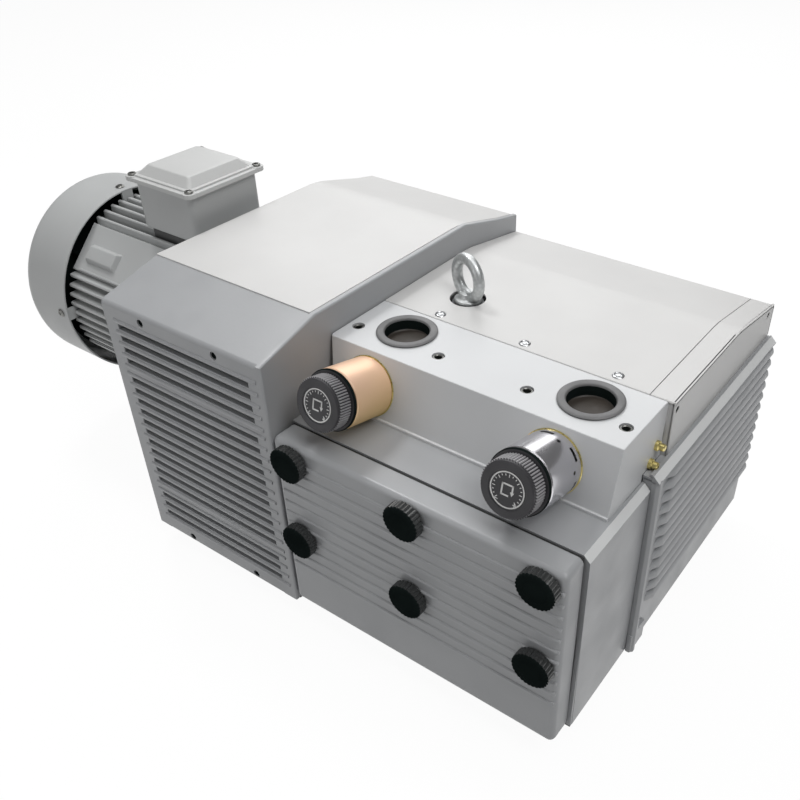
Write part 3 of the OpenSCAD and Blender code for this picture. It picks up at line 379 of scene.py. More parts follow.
    @staticmethod
    def copies(piece: Piece, moves: Sequence[Matrix | Spot]) -> list[Piece]:
        """Copies a piece, each copy with its own mesh.

        Args:
            piece: The piece that is repeated.
            moves: A move in millimetres or a matrix in metres for each copy.

        Returns:
            The copies; the piece itself stays where it is.
        """
        made = []
        for move in moves:
            twin = piece.copy()
            twin.data = piece.data.copy()
            bpy.context.scene.collection.objects.link(twin)
            twin.data.transform(move if isinstance(move, Matrix) else Matrix.Translation(Vector(move) * MM))
            made.append(twin)
        return made

    @staticmethod
    def row(name: str, piece: Piece, moves: Sequence[Matrix | Spot]) -> Piece:
        """Joins a piece with its copies."""
        return Bench.join(name, [piece, *Bench.copies(piece, moves)])

    @staticmethod
    def place(piece: Piece, matrix: Matrix) -> Piece:
        """Moves a piece by a matrix in metres and puts the place into its mesh."""
        Bench.take(piece)
        piece.matrix_world = matrix
        bpy.ops.object.transform_apply(location=True, rotation=True, scale=True)
        return piece

    @staticmethod
    def round_off(piece: Piece, width: float, segments: int = 3, angle: float = 30.0,
                  test: Test = lambda a, b: True) -> Piece:
        """Rounds the sharp edges that pass a test.

        Args:
            piece: The piece.
            width: Width of the rounding.
            segments: Steps across the rounding.
            angle: Least angle of an edge that is rounded, in degrees.
            test: Gets an edge's two ends in millimetres.

        Returns:
            The same piece.
        """
        with Bench.editing(piece, "EDGE"):
            if Bench.mark_edges(piece, test, angle):
                bpy.ops.mesh.bevel(offset=width * MM, segments=segments, affect="EDGES", clamp_overlap=True)
        return piece

    @staticmethod
    def smooth(piece: Piece, angle: float = 40.0) -> Piece:
        """Shades a piece smoothly up to an angle, with flat faces kept flat."""
        Bench.take(piece)
        bpy.ops.object.shade_smooth_by_angle(angle=math.radians(angle))
        return Bench.apply(piece, "WEIGHTED_NORMAL", keep_sharp=True, weight=60)


class Graph:
    """Builds the node tree of one material."""

    def __init__(self, name: str) -> None:
        """Starts a material with its own shader.

        Args:
            name: Name of the material.
        """
        self.material = bpy.data.materials.new(name)
        self.material.use_nodes = True
        self.tree = self.material.node_tree
        self.shader = self.tree.nodes["Principled BSDF"]

    def node(self, kind: str, **settings: object) -> bpy.types.Node:
        """Adds a node; settings that name an input set it, the others set a property."""
        made = self.tree.nodes.new(kind)
        for key, value in settings.items():
            label = key.replace("_", " ")
            if label in made.inputs:
                made.inputs[label].default_value = value
            else:
                setattr(made, key, value)
        return made

    def link(self, source: Socket, target: Socket) -> None:
        """Links two sockets."""
        self.tree.links.new(source, target)

    def spots(self, scale: Spot = (1.0, 1.0, 1.0)) -> Socket:
        """Gives the object's own coordinates, stretched by a scale."""
        where = self.node("ShaderNodeTexCoord")
        mapping = self.node("ShaderNodeMapping")
        mapping.inputs["Scale"].default_value = scale
        self.link(where.outputs["Object"], mapping.inputs["Vector"])
        return mapping.outputs["Vector"]

    def noise(self, scale: float, detail: float = 3.0, stretch: Spot = (1.0, 1.0, 1.0)) -> Socket:
        """Gives a noise value on the object's own coordinates."""
        made = self.node("ShaderNodeTexNoise", Scale=scale, Detail=detail)
        self.link(self.spots(stretch), made.inputs["Vector"])
        return made.outputs["Fac"]

    def span(self, value: Socket, low: float, high: float, start: float = 0.3,
             stop: float = 0.7) -> Socket:
        """Maps a value from start..stop to low..high."""
        made = self.node("ShaderNodeMapRange")
        for label, number in (("From Min", start), ("From Max", stop), ("To Min", low), ("To Max", high)):
            made.inputs[label].default_value = number
        self.link(value, made.inputs["Value"])
        return made.outputs["Result"]

    def blend(self, value: Socket, one: Colour, two: Colour) -> Socket:
        """Mixes two colours by a value."""
        made = self.node("ShaderNodeMix", data_type="RGBA")
        sockets = {s.identifier: s for s in made.inputs}
        sockets["A_Color"].default_value = (*one, 1.0)
        sockets["B_Color"].default_value = (*two, 1.0)
        self.link(value, sockets["Factor_Float"])
        return {s.identifier: s for s in made.outputs}["Result_Color"]

    def bump(self, value: Socket, depth: float, below: Socket | None = None) -> Socket:
        """Makes a bump of a depth in millimetres, on top of another one."""
        made = self.node("ShaderNodeBump", Strength=1.0, Distance=depth * MM)
        self.link(value, made.inputs["Height"])
        if below is not None:
            self.link(below, made.inputs["Normal"])
        return made.outputs["Normal"]

    def set(self, **numbers: float) -> None:
        """Sets the shader's own sockets."""
        for key, value in numbers.items():
            self.shader.inputs[key.replace("_", " ")].default_value = value

    def feed(self, label: str, source: Socket) -> None:
        """Links a socket to the shader's input of that name."""
        self.link(source, self.shader.inputs[label])

    def clouds(self, scale: float, detail: float, one: Colour, two: Colour) -> None:
        """Lets the base colour drift in soft clouds between two tones."""
        self.feed("Base Color", self.blend(self.span(self.noise(scale, detail), 0.0, 1.0), one, two))

    def wear(self, value: Socket, low: float, high: float) -> None:
        """Lets the roughness follow a value from low to high."""
        self.feed("Roughness", self.span(value, low, high))


def shade(colour: Colour, by: float) -> Colour:
    """Makes a colour lighter or darker by a factor."""
    return (min(colour[0] * by, 1.0), min(colour[1] * by, 1.0), min(colour[2] * by, 1.0))


@dataclass(frozen=True)
class Paint:
    """Satin paint on sheet or on a casting, with the fine peel of a sprayed coat."""

    name: str
    colour: Colour
    roughness: float = 0.42
    peel: float = 0.025
    casting: float = 0.0
    sheen_spots: float = 0.06

    def build(self) -> bpy.types.Material:
        """Makes the material."""
        g = Graph(self.name)
        g.clouds(9.0, 4.0, shade(self.colour, 0.965), shade(self.colour, 1.03))
        g.wear(g.noise(26.0, 5.0), self.roughness - self.sheen_spots, self.roughness + self.sheen_spots)
        normal = g.bump(g.noise(420.0, 2.0), self.peel)
        if self.casting:
            normal = g.bump(g.noise(150.0, 6.0), self.casting, normal)
        g.feed("Normal", normal)
        g.set(Specular_IOR_Level=0.5)
        return g.material


@dataclass(frozen=True)
class Metal:
    """Bare metal with turning or brushing marks."""

    name: str
    colour: Colour
    roughness: float = 0.28
    stretch: Spot = (1.0, 1.0, 1.0)
    grain: float = 500.0
    marks: float = 0.006
    stain: float = 0.92

    def build(self) -> bpy.types.Material:
        """Makes the material."""
        g = Graph(self.name)
        g.clouds(30.0, 6.0, shade(self.colour, self.stain), self.colour)
        marks = g.noise(self.grain, 3.0, self.stretch)
        g.wear(marks, self.roughness * 0.75, self.roughness * 1.3)
        g.feed("Normal", g.bump(marks, self.marks))
        g.set(Metallic=1.0)
        return g.material


@dataclass(frozen=True)
class Plating:
    """Smooth plating, peach at the top and a darker gold towards the underside; the darkening towards the
    underside is painted shade.
    """

    name: str
    upper: Colour
    lower: Colour
    roughness: float = 0.24
    heights: Flat = (0.268, 0.326)

    def build(self) -> bpy.types.Material:
        """Makes the material."""
        g = Graph(self.name)
        where = g.node("ShaderNodeSeparateXYZ")
        g.link(g.spots(), where.inputs[0])
        drift = g.node("ShaderNodeMath", operation="MULTIPLY_ADD")
        g.link(g.noise(11.0, 2.0), drift.inputs[0])
        drift.inputs[1].default_value = 0.7
        g.link(g.span(where.outputs["Z"], -0.35, 0.65, *self.heights), drift.inputs[2])
        # Painted shade: the colour darkens from the upper tone to the lower one towards the underside, with a
        # soft noise in the drift.
        g.feed("Base Color", g.blend(drift.outputs[0], self.lower, self.upper))
        g.wear(g.noise(8.0, 1.0), self.roughness * 0.96, self.roughness * 1.04)
        g.set(Metallic=0.45)
        return g.material


@dataclass(frozen=True)
class Galvanised:
    """Hot dip zinc with its grey spangle and lumps."""

    name: str
    colour: Colour
    roughness: float = 0.38

    def build(self) -> bpy.types.Material:
        """Makes the material."""
        g = Graph(self.name)
        cells = g.node("ShaderNodeTexVoronoi", Scale=260.0)
        g.link(g.spots(), cells.inputs["Vector"])
        spangle = cells.outputs["Distance"]
        g.feed("Base Color", g.blend(spangle, shade(self.colour, 1.1), shade(self.colour, 0.78)))
        g.feed("Roughness", g.span(spangle, self.roughness - 0.1, self.roughness + 0.12, 0.0, 0.8))
        g.feed("Normal", g.bump(g.noise(120.0, 4.0), 0.25))
        g.set(Metallic=0.85)
        return g.material


@dataclass(frozen=True)
class Plastic:
    """Moulded plastic or rubber with a fine eroded skin."""

    name: str
    colour: Colour
    roughness: float = 0.45
    skin: float = 0.03
    grain: float = 900.0
    specular: float = 0.5

    def build(self) -> bpy.types.Material:
        """Makes the material."""
        g = Graph(self.name)
        g.clouds(40.0, 5.0, shade(self.colour, 0.85), shade(self.colour, 1.18))
        g.wear(g.noise(70.0, 4.0), self.roughness - 0.07, self.roughness + 0.08)
        g.feed("Normal", g.bump(g.noise(self.grain, 2.0), self.skin))
        g.set(Specular_IOR_Level=self.specular)
        return g.material


@dataclass(frozen=True)
class Casting:
    """Unpainted cast iron or moulded carbon with a sandy skin."""

    name: str
    colour: Colour
    roughness: float = 0.62
    metallic: float = 0.6

    def build(self) -> bpy.types.Material:
        """Makes the material."""
        g = Graph(self.name)
        g.clouds(60.0, 8.0, shade(self.colour, 0.8), shade(self.colour, 1.2))
        g.wear(g.noise(200.0, 4.0), self.roughness - 0.1, self.roughness + 0.1)
        g.feed("Normal", g.bump(g.noise(330.0, 6.0), 0.12))
        g.set(Metallic=self.metallic)
        return g.material


@dataclass(frozen=True)
class Pleats:
    """Pleated filter paper round a cartridge that lies along Y, with painted shade in the darker bands of its
    folds.
    """

    name: str
    colour: Colour

    def build(self) -> bpy.types.Material:
        """Makes the material."""
        g = Graph(self.name)
        wave = g.node("ShaderNodeTexWave", wave_type="BANDS", bands_direction="X", Scale=70.0, Distortion=0.4)
        g.link(g.spots(), wave.inputs["Vector"])
        # Painted shade: the grooves of the bands are darker than the paper, as shade in the pleats' folds.
        g.feed("Base Color", g.blend(wave.outputs["Fac"], shade(self.colour, 0.7), self.colour))
        g.feed("Normal", g.bump(wave.outputs["Fac"], 1.2))
        g.set(Roughness=0.85)
        return g.material


class Finish(Enum):
    """The finishes of the pump, by the slot of the record that each one dresses."""

    CAST_PAINT = ("cast_paint", Paint("satin_grey_casting", (0.365, 0.373, 0.384), 0.36, 0.05, 0.07, 0.08))
    BLOCK_PAINT = ("cast_paint", Paint("light_grey_block", (0.635, 0.645, 0.655), 0.4, 0.015, 0.0, 0.012))
    # Bare casting inside the hood and the ports, far darker than the grey iron: the darkness is painted shade.
    INNER_CASTING = ("cast_paint", Casting("bare_casting_painted_shade", (0.035, 0.035, 0.036), 0.8, 0.0))
    COVER_PAINT = ("cover_paint", Paint("light_grey_cover", (0.61, 0.607, 0.60), 0.4, 0.012, 0.0, 0.01))
    MOTOR_PAINT = ("motor_paint", Paint("mid_grey_motor", (0.46, 0.47, 0.47), 0.38, 0.02, 0.04))
    # Painted shade: a near-black copy of the motor paint on the housing tube and the end shield, so the gaps
    # between the fins read dark.
    SHADED_PAINT = ("motor_paint", Paint("motor_tube_painted_shade", (0.07, 0.072, 0.072), 0.6))
    LID_PAINT = ("motor_paint", Paint("light_grey_lid", (0.55, 0.555, 0.55), 0.4, 0.02, 0.02, 0.015))
    BASE_PAINT = ("base_paint", Paint("dark_base", (0.05, 0.05, 0.052), 0.6, 0.03))
    CAST_IRON = ("cast_iron", Casting("grey_iron", (0.10, 0.105, 0.11)))
    STEEL = ("steel", Metal("turned_steel", (0.56, 0.57, 0.58), 0.3, (1.0, 8.0, 8.0)))
    ZINC = ("zinc", Galvanised("hot_dip_zinc", (0.62, 0.64, 0.64)))
    CHROME = ("chrome", Metal("bright_chrome", (0.76, 0.75, 0.78), 0.22, (3.0, 0.3, 3.0), 40.0, 0.001, 0.97))
    BRASS = ("brass", Metal("yellow_brass", (0.78, 0.66, 0.27), 0.3, (1.0, 1.0, 1.0), 400.0, 0.004, 0.85))
    COPPERED = ("coppered", Plating("coppered_sleeve", (1.0, 0.68, 0.49), (0.82, 0.58, 0.22), 0.45))
    BLACK_PLASTIC = ("black_plastic",
                     Plastic("black_moulding", (0.010, 0.014, 0.0135), 0.35, 0.006, specular=0.0))
    GREY_PLASTIC = ("grey_plastic",
                    Plastic("dark_grey_plastic", (0.045, 0.044, 0.048), 0.4, 0.012, specular=0.35))
    # Painted highlight: the knurl's ridges get a lighter grey than the knob, as light caught on their side.
    KNURL = ("grey_plastic", Plastic("painted_highlight_knurl", (0.30, 0.295, 0.305), 0.4, 0.006))
    # Painted highlight: a lighter grey on chamfers that face up and to the right, where the light catches
    # them.
    EDGE_PAINT = ("cast_paint", Paint("painted_highlight_chamfer", (0.72, 0.73, 0.73), 0.36, 0.012, 0.0, 0.01))
    CAP_PLASTIC = ("black_plastic", Plastic("port_cap_plastic", (0.15, 0.15, 0.152), 0.5, 0.006))
    # Painted shade on the floor of the port caps' cups: darker than the cap, less dark than the walls, where
    # light falls in.
    CAP_FLOOR = ("black_plastic", Plastic("port_cap_floor_painted_shade", (0.035, 0.028, 0.022), 0.5, 0.01))
    DULL_STEEL = ("steel", Metal("dull_screw", (0.22, 0.22, 0.21), 0.36, (1.0, 1.0, 1.0), 300.0, 0.004))
    # Polished flutes whose grey, lighter than the black face, is a painted highlight on the knob's rim.
    FLUTES = ("black_plastic", Plastic("polished_flutes_painted_highlight", (0.03, 0.032, 0.032), 0.24, 0.004, specular=0.8))
    BLACK_STEEL = ("black_steel", Metal("blackened_screw", (0.035, 0.035, 0.036), 0.4))
    RUBBER = ("rubber", Plastic("foot_rubber", (0.018, 0.018, 0.018), 0.75, 0.05, 500.0))
    FILTER_PAPER = ("filter_paper", Pleats("pleated_paper", (0.72, 0.68, 0.56)))
    CARBON = ("carbon", Casting("vane_carbon", (0.02, 0.02, 0.021), 0.5, 0.1))
    COUPLING_RED = ("coupling_red", Plastic("coupling_rubber", (0.35, 0.03, 0.02), 0.6, 0.03))
    DIAL_PRINT = ("cover_paint", Plastic("dial_print", (0.75, 0.75, 0.74), 0.5, 0.005))
    ALUMINIUM = ("aluminium", Metal("cast_aluminium", (0.55, 0.56, 0.57), 0.45, (1.0, 1.0, 1.0), 300.0, 0.02))

    def material(self) -> bpy.types.Material:
        """Gives the finish's material, made at its first use."""
        recipe = self.value[1]
        return bpy.data.materials.get(recipe.name) or recipe.build()

    @property
    def slot(self) -> str:
        """Name of the record's material slot."""
        return self.value[0]


def above(height: float) -> Test:
    """Makes a test for edges that lie wholly above a height."""
    return lambda a, b: a.z > height and b.z > height


def upright(rise: float) -> Test:
    """Makes a test for edges that climb by more than a rise."""
    return lambda a, b: abs(a.z - b.z) > rise


def line_inside(piece: Piece, finish: Finish, test: Test) -> None:
    """Gives the faces that pass a test a further finish, such as the inside of a casting.

    Args:
        piece: The dressed piece.
        finish: The finish of those faces.
        test: Gets a face's middle in millimetres and its normal.
    """
    piece.data.materials.append(finish.material())
    for face in piece.data.polygons:
        if test(face.center / MM, face.normal):
            face.material_index = len(piece.data.materials) - 1


def dress(piece: Piece, finish: Finish, body: str, nodes: Sequence[str] = ()) -> Piece:
    """Finishes a piece, lets it ride on a body and lets it stand for CAD nodes.

    Args:
        piece: The finished piece.
        finish: Its finish.
        body: The body that it moves with.
        nodes: The CAD nodes that it stands for.

    Returns:
        The same piece.
    """
    Bench.clear()
    piece.data.materials.clear()
    piece.data.materials.append(finish.material())
    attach(piece, body)
    if nodes:
        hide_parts(*nodes)
    LOG.info("%s: %d faces on %s", piece.name, len(piece.data.polygons), body)
    return piece


@dataclass(frozen=True)
class Layout:
    """Planes of the cabinet that several pieces share."""

    left: float = -284.0
    seam: float = -52.0
    right: float = 284.0
    front: float = -221.0
    back: float = 221.0
    lower: float = 25.0
    floor_top: float = 31.0
    shaft_y: float = -17.0
    shaft_z: float = 210.0
    block_top: float = 326.0
    block_back: float = -41.0


PLAN = Layout()


@dataclass
class CouplingHood:
    """The slotted hood over the coupling and the cooling fan."""

    slope: Flat = (-143.0, 356.0)
    fall: Flat = (110.0, 356.0)
    low: Flat = (187.0, 336.0)
    back_edge: Flat = (221.0, 329.0)
    shoulder: float = 335.0
    plate: float = 6.0
    wall: float = 5.0
    sheet: float = 2.5
    groups: tuple[int, ...] = (4, 11, 3)
    pitch: float = 14.0
    band: float = 24.0
    slot: float = 6.0
    first_slot: float = 309.0
    slot_x: Flat = (-264.0, -72.0)
    screws: tuple[Flat, ...] = ((-224.0, 326.0), (-116.0, 326.0), (-224.0, 30.0), (-116.0, 30.0))

    def slot_heights(self) -> list[float]:
        """Gives the height of the middle of each slot."""
        heights, z = [], self.first_slot
        for group in self.groups:
            heights += [z - i * self.pitch for i in range(group)]
            z = heights[-1] - self.band
        return heights

    def outline(self) -> list[Flat]:
        """Gives the hood's outline across the shaft."""
        return [(PLAN.front, PLAN.lower), (PLAN.front, self.shoulder), self.slope, self.fall, self.low,
                self.back_edge, (PLAN.back, PLAN.lower)]

    def casting(self) -> Piece:
        """Models the front casting with its slots, its ridges and the rim towards the pump section."""
        end = PLAN.seam - self.plate
        path = [(PLAN.front, PLAN.lower), (PLAN.front, self.shoulder - 0.4),
                (self.slope[0] + 1.5, self.slope[1] - 1.2)]
        shell = Bench.sheet("hood_front_casting", path, Axis.X, PLAN.left, end - PLAN.left)
        heights = self.slot_heights()
        with Bench.editing(shell, "VERT"):
            for z in heights:
                for cut in (z - self.slot / 2, z + self.slot / 2):
                    bpy.ops.mesh.select_all(action="SELECT")
                    bpy.ops.mesh.bisect(plane_co=(0.0, 0.0, cut * MM), plane_no=(0.0, 0.0, 1.0))
            for x in self.slot_x:
                bpy.ops.mesh.select_all(action="SELECT")
                bpy.ops.mesh.bisect(plane_co=(x * MM, 0.0, 0.0), plane_no=(1.0, 0.0, 0.0))
        with Bench.editing(shell):
            Bench.mark(shell, lambda c, n: self.slot_x[0] < c.x < self.slot_x[1] and abs(n.y) > 0.9
                       and any(abs(c.z - z) < self.slot / 2 for z in heights))
            bpy.ops.mesh.delete(type="FACE")
            bpy.ops.mesh.select_all(action="SELECT")
            bpy.ops.mesh.normals_make_consistent(inside=False)
            if Bench.mark(shell, lambda c, n: abs(n.y) > 0.9 and n.y > 0):
                bpy.ops.mesh.select_all(action="SELECT")
                bpy.ops.mesh.flip_normals()
        Bench.apply(shell, "SOLIDIFY", thickness=self.wall * MM, offset=-1.0, use_even_offset=True)
        Bench.close(shell)
        Bench.round_off(shell, 0.8, 2, 40.0, lambda a, b: a.x > self.slot_x[0] - 1
                        and b.x < self.slot_x[1] + 1 and a.z < self.shoulder - 8 and a.y < PLAN.front + 0.5)
        Bench.round_off(shell, 4.5, 5, 10.0, lambda a, b: abs(a.z - self.shoulder) < 1
                        and abs(b.z - self.shoulder) < 1 and a.y < PLAN.front + 1)
        ridge_start = self.slot_x[0] - 6
        ridge = Bench.rod("ridge", Axis.X, (ridge_start, PLAN.front + 1.6, 0), 3.2, end - ridge_start - 2, 16)
        Bench.round_off(ridge, 1.4, 2, 60.0)
        tops = [z + self.pitch / 2 for z in heights] + [heights[-1] - self.pitch / 2]
        for i, count in enumerate(self.groups[:-1]):
            tops.append(heights[sum(self.groups[: i + 1]) - 1] - self.pitch / 2)
        ridges = Bench.copies(ridge, [(0.0, 0.0, z) for z in tops])
        bpy.data.objects.remove(ridge)
        rim = Bench.prism("rim", self.outline(), Axis.X, end, self.plate)
        Bench.round_off(rim, 2.4, 4, 20.0, lambda a, b: a.x > PLAN.seam - 0.1 and b.x > PLAN.seam - 0.1)
        bore = Bench.rod("bore", Axis.X, (end - 1, PLAN.shaft_y, PLAN.shaft_z), 45.0, self.plate + 2)
        notch = Bench.block("base_slot", (end - 1, PLAN.front + 5, 20),
                            (PLAN.seam + 1, PLAN.back - 2.5, PLAN.floor_top))
        Bench.cut(rim, bore, notch)
        seats = [Bench.rod("seat", Axis.Y, (x, PLAN.front - 1, z), 4.6, 3.0, 24) for x, z in self.screws]
        Bench.cut(shell, *seats)
        return Bench.smooth(Bench.join("hood_front_casting", [shell, rim, *ridges]), 35.0)

    def top(self) -> Piece:
        """Models the folded top and back sheet."""
        path = [self.slope, self.fall, self.low, self.back_edge, (PLAN.back, PLAN.lower)]
        length = PLAN.seam - self.plate - PLAN.left - 1.2
        piece = Bench.sheet("hood_top_sheet", path, Axis.X, PLAN.left, length)
        Bench.round_off(piece, 14.0, 6, 5.0, lambda a, b: abs(a.y - b.y) < 1 and a.z > 300 and a.y < 200)
        Bench.round_off(piece, 5.0, 5, 40.0, lambda a, b: a.y > 200 and b.y > 200)
        Bench.apply(piece, "SOLIDIFY", thickness=self.sheet * MM, offset=-1.0, use_even_offset=True)
        Bench.close(piece)
        Bench.round_off(piece, 0.7, 2, 60.0)
        return Bench.smooth(piece, 30.0)

    def build(self) -> None:
        """Builds and dresses the hood."""
        casting = dress(self.casting(), Finish.CAST_PAINT, CABINET, ["hood_front", "bulkhead"])
        # Painted shade: the inner faces of the front wall, which show through the slots, get the near-black
        # inner finish.
        line_inside(casting, Finish.INNER_CASTING, lambda c, n: c.x < PLAN.seam - self.plate and n.y > 0.2
                    and c.y < self.slope[0] + 4 and c.z < self.slope[1] - 4)
        dress(self.top(), Finish.COVER_PAINT, CABINET, ["hood_top"])


@dataclass
class FilterFront:
    """The ribbed filter cover with its six hand knobs."""

    cover_x: Flat = (-51.0, 280.0)
    cover_z: Flat = (33.0, 258.0)
    depth: float = 30.5
    wall: float = 6.0
    edge: float = 6.5
    gasket: float = 3.0
    ribs: int = 11
    first_rib: float = 237.0
    rib_pitch: float = 14.4
    knob_x: tuple[float, ...] = (-25.0, 116.0, 257.0)
    knob_z: tuple[float, ...] = (239.0, 138.0)
    knob_r: float = 19.5
    knob_h: float = 11.0
    stand: float = 1.8
    lobes: int = 28
    lobe_depth: float = 1.1
    crown: float = 1.4
    face_steps: tuple[Flat, ...] = ((0.5, 0.975), (0.5, 0.95), (0.4, 0.92), (0.0, 0.75), (-0.5, 0.95),
                                    (0.1, 0.5))

    def places(self) -> list[Flat]:
        """Gives the places of the six studs, the upper row first."""
        return [(x, z) for z in self.knob_z for x in self.knob_x]

    def cover(self) -> Piece:
        """Models the hollow cover with its ribs and the bosses of the studs."""
        (x0, x1), (z0, z1) = self.cover_x, self.cover_z
        y1 = PLAN.front + self.depth - self.gasket
        piece = Bench.block("ribbed_filter_cover", (x0, PLAN.front, z0), (x1, y1, z1))
        with Bench.editing(piece):
            Bench.mark(piece, lambda c, n: n.y > 0.9)
            bpy.ops.mesh.delete(type="FACE")
        Bench.round_off(piece, self.edge, 5, 60.0)
        Bench.apply(piece, "SOLIDIFY", thickness=self.wall * MM, offset=-1.0, use_even_offset=True)
        Bench.close(piece)
        Bench.round_off(piece, 0.8, 2, 60.0, lambda a, b: a.y > y1 - 0.5 and b.y > y1 - 0.5)
        ways = [Bench.rod("way", Axis.Y, (x, PLAN.front - 4, z), 4.6, 20.0, 24) for x, z in self.places()]
        Bench.cut(piece, *ways)
        rib = Bench.rod("rib", Axis.X, (x0 + 6, PLAN.front + 1.0, self.first_rib), 2.5, x1 - x0 - 7.5, 16)
        Bench.round_off(rib, 1.6, 3, 60.0)
        ribs = [rib, *Bench.copies(rib, [(0.0, 0.0, -i * self.rib_pitch) for i in range(1, self.ribs)])]
        foot = self.wall - 1
        boss = [(4.6, foot), (10.0, foot), (10.0, self.depth), (4.6, self.depth), (4.6, foot)]
        bosses = [Bench.lathe("boss", Axis.Y, (x, PLAN.front, z), boss, 32) for x, z in self.places()]
        return Bench.smooth(Bench.join("ribbed_filter_cover", [piece, *ribs, *bosses]), 35.0)

    def seal(self) -> Piece:
        """Models the dark gasket that shows as a gap behind the cover."""
        (x0, x1), (z0, z1) = self.cover_x, self.cover_z
        y0, y1 = PLAN.front + self.depth - self.gasket - 0.5, PLAN.front + self.depth
        frame = Bench.block("filter_gasket", (x0 + 1.5, y0, z0 + 1.5), (x1 - 1.5, y1, z1 - 1.5))
        Bench.cut(frame, Bench.block("inside", (x0 + 7, y0 - 1, z0 + 7), (x1 - 7, y1 + 1, z1 - 7)))
        return Bench.smooth(Bench.round_off(frame, 0.5, 2, 60.0), 35.0)

    def knob(self) -> Piece:
        """Models one lobed hand knob with its stud at the first place."""
        x, z = self.knob_x[0], self.knob_z[0]
        face = PLAN.front - self.stand - self.knob_h
        points = []
        for i in range(self.lobes * 6):
            a = 2 * math.pi * i / (self.lobes * 6)
            r = self.knob_r - self.lobe_depth * (0.5 - 0.5 * math.cos(self.lobes * a)) ** 1.5
            points.append((x + r * math.cos(a), z + r * math.sin(a)))
        grip = Bench.prism("grip", points, Axis.Y, face + self.crown, self.knob_h - self.crown)
        middle = (x * MM, face * MM, z * MM)
        with Bench.editing(grip):
            Bench.mark(grip, lambda c, n: n.y < -0.9)
            for rise, share in self.face_steps:
                bpy.ops.mesh.extrude_region_move(TRANSFORM_OT_translate={"value": (0.0, -rise * MM, 0.0)})
                bpy.ops.transform.resize(value=(share, 1.0, share), center_override=middle)
        stud = Bench.rod("stud", Axis.Y, (x, face + self.knob_h - 0.1, z), 4.0, 51.0, 24)
        Bench.round_off(stud, 0.6, 1, 60.0)
        return Bench.smooth(Bench.join("hand_knob_1", [grip, stud]), 35.0)

    def build(self) -> None:
        """Builds and dresses the cover and the knobs."""
        dress(self.cover(), Finish.CAST_PAINT, "filter_cover_body", ["filter_cover"])
        dress(self.seal(), Finish.RUBBER, "filter_cover_body")
        first = self.knob()
        moves = [(x - self.knob_x[0], 0.0, z - self.knob_z[0]) for x, z in self.places()[1:]]
        for i, piece in enumerate([first, *Bench.copies(first, moves)], start=1):
            piece.name = f"hand_knob_{i}"
            dress(piece, Finish.BLACK_PLASTIC, f"cover_knob_body_{i}", [f"cover_knob_{i}"])
            # Painted highlight: the fluted sides get a lighter grey than the black face.
            line_inside(piece, Finish.FLUTES, lambda c, n: abs(n.y) < 0.5 and c.y < PLAN.front - 1)


@dataclass
class FilterHousing:
    """The cast housing of the two filter cartridges, with the cheek beside the cover."""

    cheek_back: float = -77.0
    chambers: tuple[float, float] = (45.5, 186.5)
    chamber_z: float = 188.5
    chamber_r: float = 50.0
    chamber_depth: float = 68.0
    front: float = -190.0
    back: float = -108.0
    low: float = 33.0
    top: float = 258.0
    side: float = 274.5
    cheek_bevel: float = 6.5

    def wedge(self) -> Piece:
        """Models the wedge that closes the gap beside the cover's lower right corner."""
        inner, outer = self.front + 0.1, self.front - 3.2
        outline = [(inner, self.low), (outer, self.low), (outer, 60.0), (inner, 160.0)]
        return Bench.round_off(Bench.prism("wedge", outline, Axis.X, 279.2, 4.6), 0.5, 2, 60.0)

    def casting(self) -> Piece:
        """Models the housing with its chambers and its cheek."""
        front, back, side, right = self.front, self.back, self.side, PLAN.right
        outline = [(PLAN.seam, front), (right, front), (right, self.cheek_back), (side, self.cheek_back),
                   (side, back), (PLAN.seam, back)]
        piece = Bench.prism("filter_housing_casting", outline, Axis.Z, self.low, self.top - self.low)
        foot = Bench.block("foot", (PLAN.seam + 0.5, front + 0.5, PLAN.floor_top),
                           (side - 1, back - 0.5, 40.0))
        Bench.fuse(piece, foot)
        Bench.round_off(piece, self.cheek_bevel, 1, 60.0, lambda a, b: min(a.x, b.x) > right - 0.1
                        and min(a.z, b.z) > self.top - 0.1)
        ways = [Bench.rod("chamber", Axis.Y, (x, front - 1, self.chamber_z), self.chamber_r,
                          self.chamber_depth + 1, 96) for x in self.chambers]
        ways += [Bench.rod("stud_hole", Axis.Y, (x, front - 1, z), 4.05, 23.0, 24)
                 for x, z in FilterFront().places()]
        Bench.cut(piece, *ways)
        return Bench.smooth(Bench.join("filter_housing_casting", [piece, self.wedge()]), 35.0)

    def build(self) -> None:
        """Builds and dresses the housing."""
        piece = dress(self.casting(), Finish.CAST_PAINT, CABINET, ["filter_housing"])
        # Painted highlight: the cheek's chamfer gets the lighter grey.
        line_inside(piece, Finish.EDGE_PAINT, lambda c, n: n.x > 0.5 and n.z > 0.5 and c.x > self.side + 1)


